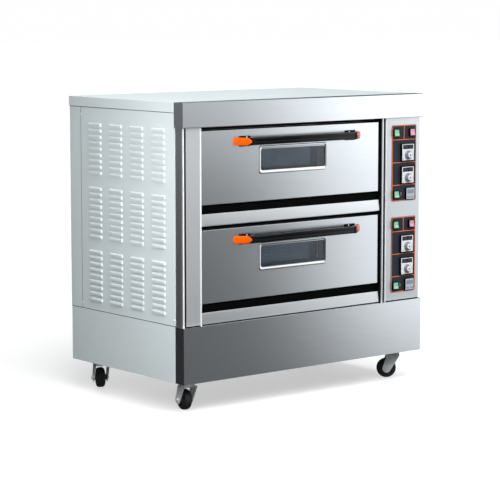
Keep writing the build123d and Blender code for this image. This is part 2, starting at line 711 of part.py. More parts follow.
def handle_plan(points, height, door_bottom):
    """Extrude a plan outline, drawn right of the handle's centre as (distance, depth)."""
    plan = make_face(Polyline(*points, close=True))
    return Pos(HANDLE_CENTRE, FRONT_Y, handle_z(door_bottom) - height / 2) * extrude(plan, height)


def both_ends(shape):
    """A shape at the handle's right end and its mirror image at the left end."""
    return [shape, mirror(shape, Plane.YZ.offset(HANDLE_CENTRE))]


def handle(door_bottom):
    """Bar, two sloped end brackets and their foot plates on the door."""
    tip = DOOR_FACE - HANDLE_REACH
    inner = tip + BAR_THICKNESS
    bar_half = TIP_HALF - BAR_END_SETBACK
    x = (HANDLE_CENTRE - bar_half, HANDLE_CENTRE + bar_half)
    bar = block(x, (tip, inner), centred(handle_z(door_bottom), HANDLE_HEIGHT))
    bar = fillet(bar.edges().filter_by(Axis.X), BAR_ROUND)
    slope_length = math.hypot(FOOT_HALF - TIP_HALF, HANDLE_REACH)
    shift = CAP_THICKNESS * slope_length / HANDLE_REACH
    heel = FOOT_HALF - BRACKET_WIDTH
    outline = [
        (FOOT_HALF - shift, DOOR_FACE),
        (TIP_HALF - shift, tip),
        (bar_half, tip),
        (bar_half, inner),
        (heel, DOOR_FACE),
    ]
    bracket = handle_plan(outline, HANDLE_HEIGHT, door_bottom)
    foot_face = DOOR_FACE - FOOT_THICKNESS
    foot_end = heel - FOOT_LENGTH
    foot = [(heel, foot_face), (heel, DOOR_FACE), (foot_end, DOOR_FACE), (foot_end + 8, foot_face)]
    bracket += handle_plan(foot, HANDLE_HEIGHT + FOOT_EXTRA_HEIGHT, door_bottom)
    return [bar] + both_ends(bracket)


def handle_caps(door_bottom):
    """Orange cover on the sloped outer face of each bracket, round at its front end."""
    slope_length = math.hypot(FOOT_HALF - TIP_HALF, HANDLE_REACH)
    foot_end = 4
    tip_end = slope_length - 1
    cap_size = (tip_end - foot_end, CAP_THICKNESS, CAP_HEIGHT)
    cap = Pos((foot_end + tip_end) / 2, CAP_THICKNESS / 2) * Box(*cap_size)
    cap = fillet(cap.edges().filter_by(Axis.Y).group_by(Axis.X)[-1], CAP_HEIGHT / 2 - 1)
    cap = fillet(cap.edges().filter_by(Axis.Y).group_by(Axis.X)[0], 3)
    angle = 180 + math.degrees(math.atan2(HANDLE_REACH, FOOT_HALF - TIP_HALF))
    cap = mirror(cap, Plane.XZ)
    corner = Pos(HANDLE_CENTRE + FOOT_HALF, FRONT_Y + DOOR_FACE, handle_z(door_bottom))
    right = corner * Rot(0, 0, angle) * cap
    return both_ends(right)


def hinge_pins():
    """A bracket with its pin beside each lower door corner."""
    pieces = []
    bracket_depth = (BRACKET_FRONT, BRACKET_BACK)
    left_x = (OPENING_LEFT - SHEET - BRACKET_THICKNESS, OPENING_LEFT - SHEET)
    right_x = (OPENING_RIGHT + SHEET, OPENING_RIGHT + JAMB_WIDTH - SHEET)
    for door_bottom in DECKS.values():
        z = door_bottom + PIVOT_LIFT
        bracket_z = centred(z, 2 * BRACKET_HALF_HEIGHT)
        left_pin = (left_x[0] + 4, DOOR_LEFT + EAR_LENGTH)
        right_pin = (DOOR_RIGHT - EAR_LENGTH, right_x[1] - 3.5)
        for bracket_x, pin_x in ((left_x, left_pin), (right_x, right_pin)):
            bracket = block(bracket_x, bracket_depth, bracket_z)
            pieces.append(bracket + rod_x(pin_x, PIVOT_DEPTH, z, PIN_RADIUS))
    return pieces


# ---- baking chambers -----------------------------------------------------------------------------
def wall_fittings(door_bottom, clearance):
    """Cutters for all that passes through the right wall of one chamber."""
    x = (CHAMBER_RIGHT - 2, TERMINAL_END)
    cutters = []
    for rise in (LOWER_ELEMENT_RISE, UPPER_ELEMENT_RISE):
        for middle in ELEMENT_DEPTHS:
            for side in SIDES:
                depth = middle + side * ELEMENT_BEND
                cutters.append(rod_x(x, depth, door_bottom + rise, ELEMENT_RADIUS + clearance))
    for depth, rise in zip(SENSOR_DEPTHS, SENSOR_RISES):
        cutters.append(rod_x(x, depth, door_bottom + rise, SENSOR_RADIUS + clearance))
    cutters.append(rod_x(x, LAMP_DEPTH, door_bottom + LAMP_RISE, LAMP_RADIUS + clearance))
    return cutters


def chamber(door_bottom):
    """Steel baking chamber, open at the front, with a front flange and two ledges for the hearth."""
    x = (CHAMBER_LEFT, CHAMBER_RIGHT)
    z = (door_bottom + CHAMBER_FLOOR, door_bottom + CHAMBER_ROOF)
    outer_z = (z[0] - SHEET, z[1] + SHEET)
    shell = block((x[0] - SHEET, x[1] + SHEET), (CHAMBER_FRONT, CHAMBER_BACK + SHEET), outer_z)
    flange_z = (door_bottom - FLANGE_DROP, door_bottom + DOOR_HEIGHT + FLANGE_RISE)
    flange_x = (OPENING_LEFT + 1, OPENING_RIGHT - 1)
    shell += block(flange_x, (CHAMBER_FRONT, CHAMBER_FRONT + SHEET), flange_z)
    shell -= block(x, (CHAMBER_FRONT - 1, CHAMBER_BACK), z)
    ledge_top = door_bottom + HEARTH_TOP - HEARTH_THICKNESS
    for ledge_x in ((x[0], x[0] + LEDGE_WIDTH), (x[1] - LEDGE_WIDTH, x[1])):
        shell += block(ledge_x, (CHAMBER_FRONT + 5, CHAMBER_BACK), (ledge_top - LEDGE_THICKNESS, ledge_top))
    return shell - wall_fittings(door_bottom, 0.5)


def hearth(door_bottom):
    """The steel plate that trays and loaves stand on."""
    x = (CHAMBER_LEFT + 2, CHAMBER_RIGHT - 2)
    top = door_bottom + HEARTH_TOP
    return block(x, (CHAMBER_FRONT + 4, CHAMBER_BACK - 3), (top - HEARTH_THICKNESS, top))


def heating_element(middle, z):
    """A tubular element bent to a U, its two ends through the right wall."""
    start = Pos(TERMINAL_END, middle - ELEMENT_BEND).position
    turn = Pos(ELEMENT_LEFT + ELEMENT_BEND, middle - ELEMENT_BEND).position
    back = Pos(ELEMENT_LEFT + ELEMENT_BEND, middle + ELEMENT_BEND).position
    end = Pos(TERMINAL_END, middle + ELEMENT_BEND).position
    tip = Pos(ELEMENT_LEFT, middle).position
    path = Wire([Line(start, turn).edge(), ThreePointArc(turn, tip, back).edge(), Line(back, end).edge()])
    profile = Plane(origin=start, z_dir=(-1, 0, 0)) * Circle(ELEMENT_RADIUS)
    return Pos(0, FRONT_Y, z) * sweep(profile, path=path)


def heating_elements():
    """Three elements under each hearth and three under each roof."""
    pieces = []
    for door_bottom in DECKS.values():
        for rise in (LOWER_ELEMENT_RISE, UPPER_ELEMENT_RISE):
            pieces += [heating_element(middle, door_bottom + rise) for middle in ELEMENT_DEPTHS]
    return pieces


def insulation():
    """Mineral wool slabs below, above, beside and behind each chamber."""
    gap = SHEET + 0.5
    slabs = []
    for door_bottom in DECKS.values():
        low = door_bottom + CHAMBER_FLOOR - gap
        high = door_bottom + CHAMBER_ROOF + gap
        x = (CHAMBER_LEFT - gap, CHAMBER_RIGHT + gap)
        depth = (CHAMBER_FRONT + gap, CHAMBER_BACK + gap)
        slabs.append(block(x, (depth[0], WOOL_BACK), (door_bottom - WOOL_BELOW, low)))
        slabs.append(block(x, (depth[0], WOOL_BACK), (high, high + WOOL_ABOVE)))
        slabs.append(block((x[0] - WOOL_LEFT, x[0]), depth, (low, high)))
        slabs.append(block((x[1], x[1] + WOOL_RIGHT), depth, (low, high)) - wall_fittings(door_bottom, 1))
        slabs.append(block(x, (depth[1], WOOL_BACK), (low, high)))
    return slabs


def oven_lamps():
    """A lamp in each chamber's right wall: lens flange inside, lamp holder through the wall."""
    pieces = []
    for door_bottom in DECKS.values():
        z = door_bottom + LAMP_RISE
        lens = rod_x((CHAMBER_RIGHT - LENS_THICKNESS, CHAMBER_RIGHT), LAMP_DEPTH, z, LENS_RADIUS)
        lens = fillet(lens.faces().sort_by(Axis.X)[0].edges(), LENS_THICKNESS / 2)
        pieces.append(lens + rod_x((CHAMBER_RIGHT, TERMINAL_END), LAMP_DEPTH, z, LAMP_RADIUS))
    return pieces


def temperature_sensors():
    """Two sensor rods per deck, one near the roof and one under the hearth, each with a head."""
    pieces = []
    for door_bottom in DECKS.values():
        for depth, rise in zip(SENSOR_DEPTHS, SENSOR_RISES):
            z = door_bottom + rise
            rod = rod_x((CHAMBER_RIGHT - SENSOR_LENGTH, TERMINAL_END), depth, z, SENSOR_RADIUS)
            head_x = (TERMINAL_END, TERMINAL_END + SENSOR_HEAD_LENGTH)
            pieces.append(rod + rod_x(head_x, depth, z, SENSOR_HEAD_RADIUS))
    return pieces


# ---- electrical gear and fasteners -----------------------------------------------------------------
def hexagon(radius, height):
    """A hexagonal head or nut standing on the XY plane."""
    return extrude(RegularPolygon(radius, 6), height)


def cable_gland():
    """Gland for the supply lead, its nut and dome behind the back panel and its sealing insert closed."""
    locknut = Pos(0, 0, -SHEET - GLAND_LOCKNUT_HEIGHT) * hexagon(GLAND_LOCKNUT_RADIUS, GLAND_LOCKNUT_HEIGHT)
    neck = Pos(0, 0, -SHEET / 2) * Cylinder(GLAND_RADIUS, SHEET)
    nut = hexagon(GLAND_NUT_RADIUS, GLAND_NUT_HEIGHT)
    dome_height = GLAND_REACH - GLAND_NUT_HEIGHT
    dome = Pos(0, 0, GLAND_REACH - dome_height / 2) * Cylinder(GLAND_DOME_RADIUS, dome_height)
    dome = fillet(dome.edges().group_by(Axis.Z)[-1], dome_height / 2)
    insert = Pos(0, 0, GLAND_REACH) * Cylinder(GLAND_DOME_RADIUS / 2, 3)
    gland = locknut + neck + nut + dome - insert
    return Pos(GLAND_X, FRONT_Y + CASING_DEPTH, GLAND_Z) * Rot(-90, 0, 0) * gland


def electrical_gear():
    """Contactors and a terminal block on the gear plate, and the supply lead's gland on the back."""
    pieces = []
    face = GEAR_PLATE_X[1]
    reach = face + CONTACTOR_SIZE[0]
    for place in range(CONTACTORS):
        depth = CONTACTOR_START + place * CONTACTOR_PITCH
        body = block((face, reach), (depth, depth + CONTACTOR_SIZE[1]), CONTACTOR_Z)
        armature_depth = (depth + 8, depth + CONTACTOR_SIZE[1] - 8)
        pieces.append(body + block((reach, reach + ARMATURE_REACH), armature_depth, ARMATURE_Z))
    pieces.append(block((face, face + TERMINAL_BLOCK_REACH), TERMINAL_BLOCK_DEPTH, TERMINAL_BLOCK_Z))
    pieces.append(cable_gland())
    return pieces


def bolt_places():
    """The four bolt positions of one caster plate, from its centre."""
    return [Pos(i * BOLT_SPACING[0] / 2, j * BOLT_SPACING[1] / 2) for i in SIDES for j in SIDES]


def panel_screw():
    """A pan-head screw that points down its own -Z, its head on the XY plane."""
    head = Pos(0, 0, PAN_HEAD_HEIGHT / 2) * Cylinder(PAN_HEAD_RADIUS, PAN_HEAD_HEIGHT)
    head = fillet(head.edges().group_by(Axis.Z)[-1], 1.5)
    slot = Pos(0, 0, PAN_HEAD_HEIGHT) * (Box(6, 1.2, 1.6) + Box(1.2, 6, 1.6))
    shank = Pos(0, 0, -SCREW_LENGTH / 2) * Cylinder(SCREW_HOLE - RUNNING_GAP, SCREW_LENGTH)
    return head + shank - slot


def fasteners():
    """Caster bolts, and the screws of the side and back panels."""
    shank_length = PLATE_SIZE[2] - BODY_GAP
    bolt = Pos(0, 0, PLATE_BOTTOM - BOLT_HEAD_HEIGHT) * hexagon(BOLT_HEAD_RADIUS, BOLT_HEAD_HEIGHT)
    bolt += Pos(0, 0, PLATE_BOTTOM + shank_length / 2) * Cylinder(BOLT_RADIUS, shank_length)
    pieces = []
    for x, depth, _ in CASTERS.values():
        pieces += [Pos(x, FRONT_Y + depth) * place * bolt for place in bolt_places()]
    for side in SIDES:
        for depth, z in SIDE_SCREWS:
            pieces.append(Pos(side * BODY_HALF, FRONT_Y + depth, z) * Rot(0, 90 * side, 0) * panel_screw())
    for x, z in REAR_SCREWS:
        pieces.append(Pos(x, FRONT_Y + CASING_DEPTH, z) * Rot(-90, 0, 0) * panel_screw())
    return pieces


# ---- casters -----------------------------------------------------------------------------------------
def caster_plate():
    """Top plate with its bolt holes, upper race and riveted kingpin."""
    plate = Pos(0, 0, PLATE_BOTTOM + PLATE_SIZE[2] / 2) * Box(*PLATE_SIZE)
    plate = fillet(plate.edges().filter_by(Axis.Z), PLATE_ROUND)
    plate -= [place * Pos(0, 0, PLATE_BOTTOM) * Cylinder(BOLT_RADIUS + 0.2, 20) for place in bolt_places()]
    plate += Pos(0, 0, (PLATE_BOTTOM + RACE_BOTTOM) / 2) * Cylinder(RACE_RADIUS, PLATE_BOTTOM - RACE_BOTTOM)
    pin_bottom = CROWN_TOP - CROWN_SHEET - BODY_GAP
    pin_length = PLATE_BOTTOM - pin_bottom
    plate += Pos(0, 0, pin_bottom + pin_length / 2) * Cylinder(KINGPIN_RADIUS, pin_length)
    return plate + Pos(0, 0, pin_bottom - RIVET_HEIGHT / 2) * Cylinder(RIVET_RADIUS, RIVET_HEIGHT)


def caster_fork():
    """Stamped fork: crown, bearing cup and two tapered legs; it trails towards its own +X."""
    crown_x = (LEG_WIDTH[0] + LEG_WIDTH[1]) / 2
    crown_size = (LEG_WIDTH[1] - LEG_WIDTH[0], 2 * (FORK_INNER + FORK_SHEET), CROWN_SHEET)
    fork = Pos(crown_x, 0, CROWN_TOP - CROWN_SHEET / 2) * Box(*crown_size)
    shoulder = Pos(crown_x, CROWN_TOP - CROWN_SHEET / 2) * Rectangle(crown_size[0], CROWN_SHEET)
    foot = Pos(TRAIL, WHEEL_RADIUS) * Circle(LEG_FOOT_RADIUS)
    outline = make_hull(shoulder.edges() + foot.edges())
    leg = extrude(Plane.XZ * outline, FORK_SHEET)
    fork += [Pos(0, FORK_INNER + FORK_SHEET) * leg, Pos(0, -FORK_INNER) * leg]
    fork = fillet(fork.edges().filter_by(Axis.X).group_by(Axis.Z)[-1], CROWN_ROUND)
    cup_height = RACE_BOTTOM - BODY_GAP - CROWN_TOP
    fork += Pos(0, 0, CROWN_TOP + cup_height / 2) * Cylinder(CUP_RADIUS, cup_height)
    fork -= Pos(0, 0, CROWN_TOP) * Cylinder(KINGPIN_RADIUS + RUNNING_GAP, 60)
    return fork - Pos(TRAIL, 0, WHEEL_RADIUS) * Rot(90, 0, 0) * Cylinder(AXLE_RADIUS + RUNNING_GAP, 80)


def axle_bolt():
    """Axle bolt along the fork's Y, with its head on one leg and its nut on the other."""
    outer = FORK_INNER + FORK_SHEET
    bolt = Cylinder(AXLE_RADIUS, 2 * outer + 4)
    bolt += Pos(0, 0, outer) * hexagon(AXLE_NUT_RADIUS, AXLE_NUT_HEIGHT - 1)
    bolt += Pos(0, 0, -outer - AXLE_NUT_HEIGHT) * hexagon(AXLE_NUT_RADIUS, AXLE_NUT_HEIGHT)
    return Pos(TRAIL, 0, WHEEL_RADIUS) * Rot(90, 0, 0) * bolt


def caster_wheel():
    """Rubber-tyred wheel with a rounded tread, thin web and bored hub."""
    bore = AXLE_RADIUS + RUNNING_GAP
    tread = Pos((RIM_INNER + WHEEL_RADIUS) / 2, 0) * Rectangle(WHEEL_RADIUS - RIM_INNER, WHEEL_WIDTH)
    tread = fillet(tread.vertices().group_by(Axis.X)[-1], TREAD_ROUND)
    hub = Pos((bore + HUB_RADIUS) / 2, 0) * Rectangle(HUB_RADIUS - bore, 2 * HUB_HALF)
    web = Pos((bore + RIM_INNER + 1) / 2, 0) * Rectangle(RIM_INNER + 1 - bore, WEB_WIDTH)
    wheel = revolve(tread + hub + web, Axis.Y, 360)
    return Pos(TRAIL, 0, WHEEL_RADIUS) * wheel


def main():
    os.makedirs("parts", exist_ok=True)
    save("chassis_frame", *chassis_tubes())
    save("inner_sheets", *inner_sheets())
    save("plinth_front", plinth_front())
    save("plinth_panels", *plinth_panels())
    save("left_panel", louvred_panel(-1))
    save("right_panel", louvred_panel(1))
    save("rear_casing", *rear_casing())
    save("top_cover", top_cover())
    save("top_fascia", top_fascia())
    save("front_surround", *front_surround())
    save("recess_bars", *recess_bars())
    save("control_cover", control_cover())
    save("control_plates", *control_plates())
    save("instruments", *instruments())
    save("switch_bezels", *switch_bezels())
    save("hinge_pins", *hinge_pins())
    save("hearth_plates", *[hearth(door_bottom) for door_bottom in DECKS.values()])
    save("heating_elements", *heating_elements())
    save("insulation", *insulation())
    save("oven_lamps", *oven_lamps())
    save("temperature_sensors", *temperature_sensors())
    save("electrical_gear", *electrical_gear())
    save("fasteners", *fasteners())
    for deck, door_bottom in DECKS.items():
        save(f"{deck}_chamber", chamber(door_bottom))
        save(f"{deck}_door_panel", door_panel(door_bottom))
        save(f"{deck}_door_liner", door_liner(door_bottom))
        save(f"{deck}_window_frame", window_frame(door_bottom))
        save(f"{deck}_window_glass", *window_glass(door_bottom))
        save(f"{deck}_handle", *handle(door_bottom))
        save(f"{deck}_handle_caps", *handle_caps(door_bottom))
        for name, drop in zip(("top", "bottom"), CONTROLLER_DROPS):
            save(f"{deck}_{name}_heat_knob", controller_knob(door_bottom, drop))
        for name, (x, drop) in SWITCHES.items():
            save(f"{deck}_{name}_rocker", rocker(door_bottom, x, drop))
        for name, side in zip(("left", "right"), SIDES):
            save(f"{deck}_timer_{name}_key", timer_key(door_bottom, side))
    plates = []
    for place, (x, depth, angle) in CASTERS.items():
        plates.append(Pos(x, FRONT_Y + depth) * caster_plate())
        turned = Pos(x, FRONT_Y + depth) * Rot(0, 0, angle)
        save(f"caster_fork_{place}", turned * caster_fork(), turned * axle_bolt())
        save(f"caster_wheel_{place}", turned * caster_wheel())
    save("caster_plates", *plates)


main()
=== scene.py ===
import json
import math

import bmesh
import bpy
from mathutils import Matrix, Vector


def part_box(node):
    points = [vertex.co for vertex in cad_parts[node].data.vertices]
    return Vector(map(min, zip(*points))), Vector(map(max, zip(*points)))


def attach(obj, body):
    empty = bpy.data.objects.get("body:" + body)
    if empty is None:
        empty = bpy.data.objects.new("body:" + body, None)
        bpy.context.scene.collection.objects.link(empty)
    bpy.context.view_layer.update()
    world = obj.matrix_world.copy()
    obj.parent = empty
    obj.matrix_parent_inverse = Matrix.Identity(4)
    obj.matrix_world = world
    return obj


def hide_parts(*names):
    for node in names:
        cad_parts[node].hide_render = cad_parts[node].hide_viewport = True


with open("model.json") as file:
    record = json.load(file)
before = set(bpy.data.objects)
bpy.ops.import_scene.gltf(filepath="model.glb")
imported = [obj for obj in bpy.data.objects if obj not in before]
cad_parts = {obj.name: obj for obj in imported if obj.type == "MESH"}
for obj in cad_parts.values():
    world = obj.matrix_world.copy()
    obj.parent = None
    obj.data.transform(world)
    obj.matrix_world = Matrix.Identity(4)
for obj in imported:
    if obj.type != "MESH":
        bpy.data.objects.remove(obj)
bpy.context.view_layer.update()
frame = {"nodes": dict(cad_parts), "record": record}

NODES = frame["nodes"]
MM = 0.001
RECORD_JOINTS = {joint["name"]: joint for joint in frame["record"]["behaviour"]["joints"]}
DECKS = ("lower", "upper")
CASTERS = ("front_left", "front_right", "rear_left", "rear_right")


# ---- camera -----------------------------------------------------------------------------
CAMERA_PLACE = (-4.934, -6.026, 1.5214)
CAMERA_YAW = 0.686837
CAMERA_DIP = 0.125128
CAMERA_LENS = 140.2


def make_camera():
    """Long-lens camera at the oven's front left, a little above it."""
    data = bpy.data.cameras.new("camera")
    data.lens = CAMERA_LENS
    data.clip_end = 100
    camera = bpy.data.objects.new("camera", data)
    camera.location = CAMERA_PLACE
    camera.rotation_euler = (math.pi / 2 - CAMERA_DIP, 0, -CAMERA_YAW)
    bpy.context.scene.collection.objects.link(camera)
    bpy.context.scene.camera = camera


# ---- material building blocks -------------------------------------------------------------
def new_material(name, **sockets):
    """A node material whose uniform values sit directly on the shader's sockets."""
    material = bpy.data.materials.new(name)
    material.use_nodes = True
    shader = material.node_tree.nodes["Principled BSDF"]
    for socket, value in sockets.items():
        shader.inputs[socket.replace("_", " ")].default_value = value
    return material, material.node_tree, shader


def noise(tree, stretch, detail=3.0, rough=0.5):
    """Noise in the oven's own coordinates, stretch giving its waves per metre along X, Y and Z."""
    coords = tree.nodes.new("ShaderNodeTexCoord")
    mapping = tree.nodes.new("ShaderNodeMapping")
    mapping.inputs["Scale"].default_value = stretch
    texture = tree.nodes.new("ShaderNodeTexNoise")
    texture.inputs["Scale"].default_value = 1.0
    texture.inputs["Detail"].default_value = detail
    texture.inputs["Roughness"].default_value = rough
    tree.links.new(coords.outputs["Object"], mapping.inputs["Vector"])
    tree.links.new(mapping.outputs["Vector"], texture.inputs["Vector"])
    return texture.outputs["Fac"]


def spread(tree, value, low, high):
    """Map the middle of a noise to the range from low to high."""
    node = tree.nodes.new("ShaderNodeMapRange")
    node.inputs["From Min"].default_value = 0.3
    node.inputs["From Max"].default_value = 0.7
    node.inputs["To Min"].default_value = low
    node.inputs["To Max"].default_value = high
    tree.links.new(value, node.inputs["Value"])
    return node.outputs["Result"]


def tones(tree, value, dark, light):
    """Colour between two tones, chosen by a noise."""
    node = tree.nodes.new("ShaderNodeValToRGB")
    node.color_ramp.elements[0].position = 0.3
    node.color_ramp.elements[1].position = 0.7
    node.color_ramp.elements[0].color = (*dark, 1)
    node.color_ramp.elements[1].color = (*light, 1)
    tree.links.new(value, node.inputs["Fac"])
    return node.outputs["Color"]


def bump(tree, shader, height, depth):
    """Surface relief of a noise, with its depth in metres."""
    node = tree.nodes.new("ShaderNodeBump")
    node.inputs["Strength"].default_value = 1.0
    node.inputs["Distance"].default_value = depth
    tree.links.new(height, node.inputs["Height"])
    tree.links.new(node.outputs["Normal"], shader.inputs["Normal"])


def surface(name, dark, light, rough, grain, relief, mottle=(9, 9, 9), **sockets):
    """A material with mottled colour, uneven roughness and fine relief, each from its own noise."""
    material, tree, shader = new_material(name, **sockets)
    colour = tones(tree, noise(tree, mottle), dark, light)
    tree.links.new(colour, shader.inputs["Base Color"])
    fine = noise(tree, grain)
    tree.links.new(spread(tree, fine, *rough), shader.inputs["Roughness"])
    bump(tree, shader, fine, relief)
    return material


def brushed(name, along, dark, light, rough, relief=1e-6):
    """Brushed stainless steel, its grain running along X, Y or Z."""
    grain = [1500, 1500, 1500]
    streaks = [240, 240, 240]
    grain["XYZ".index(along)] = 30
    streaks["XYZ".index(along)] = 4
    return surface(name, dark, light, rough, tuple(grain), relief, mottle=tuple(streaks), Metallic=1.0)


def make_materials():
    """Every material of the oven, by the name used below."""
    made = {}
    made["steel_x"] = brushed("steel_x", "X", (0.635, 0.65, 0.67), (0.655, 0.67, 0.69), (0.23, 0.27))
    made["steel_z"] = brushed("steel_z", "Z", (0.76, 0.77, 0.785), (0.78, 0.79, 0.805), (0.46, 0.52))
    # A darker copy of the brushed steel for the control column: painted shade.
    made["column"] = brushed("column_steel_painted_shade", "Z", (0.54, 0.55, 0.57), (0.56, 0.57, 0.59), (0.42, 0.48))
    # A lighter copy of the brushed steel for the sill facings: painted light.
    made["sill"] = brushed("sill_steel_painted_light", "X", (0.66, 0.67, 0.68), (0.68, 0.69, 0.70), (0.34, 0.40))
    made["rim"] = surface(
        "rim_steel", (0.70, 0.71, 0.725), (0.72, 0.73, 0.745), (0.14, 0.2), (700,) * 3, 1e-6,
        mottle=(60,) * 3, Metallic=1.0,
    )
    made["paint"] = surface(
        "pale_paint", (0.665, 0.735, 0.75), (0.685, 0.755, 0.77), (0.5, 0.6), (420,) * 3, 1.2e-5,
        mottle=(3,) * 3, Specular_IOR_Level=0.3,
    )
    # Near-white edge material: a painted highlight for rounded steel edges, not the colour of the steel.
    made["edge"] = surface(
        "painted_highlight_edge", (0.90, 0.91, 0.92), (0.95, 0.96, 0.97), (0.2, 0.3), (600,) * 3, 2e-6, Metallic=0.3
    )
    # Black paint of the recess bars, made darker than paint is so that it also carries painted shade of the
    # recess.
    made["black"] = surface(
        "black_bar", (0.001,) * 3, (0.002,) * 3, (0.4, 0.55), (300,) * 3, 1e-5, Specular_IOR_Level=0.02
    )
    made["gap"] = surface(
        "shadow_gap", (0.004,) * 3, (0.007,) * 3, (0.6, 0.75), (300,) * 3, 1e-5, Specular_IOR_Level=0.02
    )
    made["plate"] = surface(
        "control_plate", (0.016, 0.020, 0.030), (0.024, 0.029, 0.040), (0.35, 0.5), (900,) * 3, 1e-5,
        Specular_IOR_Level=0.15,
    )
    made["moulding"] = surface(
        "black_moulding", (0.002,) * 3, (0.004,) * 3, (0.3, 0.42), (700,) * 3, 1.5e-5, Specular_IOR_Level=0.1
    )
    made["handle"] = surface(
        "handle_black", (0.003,) * 3, (0.006, 0.006, 0.008), (0.22, 0.32), (600,) * 3, 1e-5,
        Specular_IOR_Level=0.12,
    )
    made["orange"] = surface(
        "orange_cover", (1.0, 0.085, 0.001), (1.0, 0.105, 0.002), (0.2, 0.28), (500,) * 3, 8e-6,
        Specular_IOR_Level=0.08,
    )
    made["chassis"] = surface("chassis_paint", (0.03,) * 3, (0.05,) * 3, (0.5, 0.65), (400,) * 3, 2e-5)
    made["galvanised"] = surface(
        "galvanised", (0.42, 0.43, 0.44), (0.56, 0.57, 0.58), (0.35, 0.5), (120,) * 3, 1e-5,
        mottle=(60,) * 3, Metallic=1.0,
    )
    made["zinc"] = surface(
        "zinc_plate", (0.66, 0.68, 0.69), (0.84, 0.86, 0.87), (0.28, 0.4), (260,) * 3, 1.5e-5,
        mottle=(90,) * 3, Metallic=0.2,
    )
    made["chamber"] = surface(
        "chamber_steel", (0.22, 0.20, 0.18), (0.34, 0.32, 0.30), (0.35, 0.55), (90,) * 3, 2e-5,
        Metallic=1.0,
    )
    made["hearth"] = surface(
        "hearth_steel", (0.05, 0.048, 0.046), (0.10, 0.095, 0.09), (0.5, 0.7), (60,) * 3, 5e-5
    )
    made["wool"] = surface(
        "mineral_wool", (0.50, 0.42, 0.22), (0.68, 0.60, 0.36), (0.85, 1.0), (240, 240, 900), 1e-3,
        mottle=(80, 80, 300),
    )
    made["tyre"] = surface("tyre_rubber", (0.010,) * 3, (0.020,) * 3, (0.5, 0.68), (500,) * 3, 3e-5)
    made["glass"] = surface(
        "window_glass", (0.66, 0.78, 0.90), (0.70, 0.82, 0.94), (0.01, 0.03), (5,) * 3, 1e-6,
        Transmission_Weight=1.0, IOR=1.45,
    )
    made["lamp"] = surface(
        "lamp_glass", (0.9, 0.88, 0.8), (0.95, 0.93, 0.86), (0.1, 0.25), (200,) * 3, 2e-5,
        Transmission_Weight=0.6,
    )
    made["rule"] = surface(
        "orange_print", (0.92, 0.19, 0.06), (1.0, 0.23, 0.08), (0.4, 0.55), (700,) * 3, 4e-6
    )
    made["face"] = surface(
        "dial_white", (0.88, 0.89, 0.92), (0.93, 0.94, 0.97), (0.3, 0.42), (600,) * 3, 4e-6
    )
    made["print"] = surface(
        "dial_print", (0.10, 0.11, 0.13), (0.14, 0.15, 0.17), (0.4, 0.55), (700,) * 3, 4e-6
    )
    made["screen"] = surface(
        "dark_screen", (0.008, 0.010, 0.015), (0.014, 0.017, 0.023), (0.2, 0.3), (300,) * 3, 4e-6,
        Specular_IOR_Level=0.1,
    )
    made["segment"] = surface(
        "screen_segment", (0.07, 0.075, 0.09), (0.09, 0.095, 0.11), (0.2, 0.3), (500,) * 3, 2e-6
    )
    made["timer"] = surface(
        "timer_face", (0.46, 0.54, 0.62), (0.52, 0.60, 0.68), (0.3, 0.4), (500,) * 3, 6e-6
    )
    made["liquid"] = surface(
        "timer_screen", (0.26, 0.32, 0.37), (0.31, 0.37, 0.42), (0.1, 0.2), (300,) * 3, 3e-6
    )
    made["amber"] = surface(
        "amber_lens", (0.10, 0.045, 0.02), (0.14, 0.06, 0.03), (0.12, 0.2), (400,) * 3, 6e-6, Coat_Weight=0.5
    )
    made["hub"] = surface("hub_plastic", (0.022,) * 3, (0.034,) * 3, (0.35, 0.5), (500,) * 3, 2e-5)
    made["gasket"] = surface("gasket_rubber", (0.008,) * 3, (0.014,) * 3, (0.6, 0.75), (500,) * 3, 2e-5)
    made["knob"] = surface("knob_grey", (0.20, 0.22, 0.27), (0.25, 0.27, 0.32), (0.3, 0.4), (500,) * 3, 1e-5)
    made["green"] = surface(
        "rocker_green", (0.17, 0.50, 0.32), (0.22, 0.58, 0.38), (0.15, 0.25), (300,) * 3, 1e-5,
        Coat_Weight=0.3,
    )
    made["red"] = surface(
        "rocker_red", (0.62, 0.24, 0.36), (0.72, 0.31, 0.44), (0.15, 0.25), (300,) * 3, 1e-5, Coat_Weight=0.3
    )
    made["key"] = surface("key_grey", (0.30, 0.36, 0.42), (0.36, 0.42, 0.48), (0.3, 0.42), (500,) * 3, 1e-5)
    return made


MATERIALS = make_materials()
NODE_MATERIALS = {
    "chassis_frame": "chassis", "inner_sheets": "galvanised", "hinge_pins": "zinc",
    "plinth_front": "steel_x", "top_fascia": "steel_x", "front_surround": "steel_z",
    "control_cover": "column", "plinth_panels": "paint", "left_panel": "paint", "right_panel": "paint",
    "rear_casing": "paint",
    "top_cover": "paint", "recess_bars": "black", "control_plates": "plate", "instruments": "moulding",
    "switch_bezels": "moulding", "electrical_gear": "moulding", "hearth_plates": "hearth",
    "heating_elements": "chamber", "temperature_sensors": "chamber", "insulation": "wool",
    "oven_lamps": "lamp", "fasteners": "zinc", "caster_plates": "zinc",
}
DECK_MATERIALS = {
    "chamber": "chamber", "door_panel": "steel_x", "door_liner": "chamber", "window_frame": "steel_x",
    "window_glass": "glass", "handle": "handle", "handle_caps": "orange",
    "top_heat_knob": "knob", "bottom_heat_knob": "knob", "heat_rocker": "green", "steam_rocker": "green",
    "lamp_rocker": "red", "timer_left_key": "key", "timer_right_key": "key",
}


def paint_nodes():
    """Give every CAD node its material."""
    chosen = dict(NODE_MATERIALS)
    for deck in DECKS:
        chosen.update({f"{deck}_{part}": material for part, material in DECK_MATERIALS.items()})
    for place in CASTERS:
        chosen[f"caster_fork_{place}"] = "zinc"
        chosen[f"caster_wheel_{place}"] = "tyre"
    for node, material in chosen.items():
        mesh = NODES[node].data
        mesh.materials.clear()
        mesh.materials.append(MATERIALS[material])


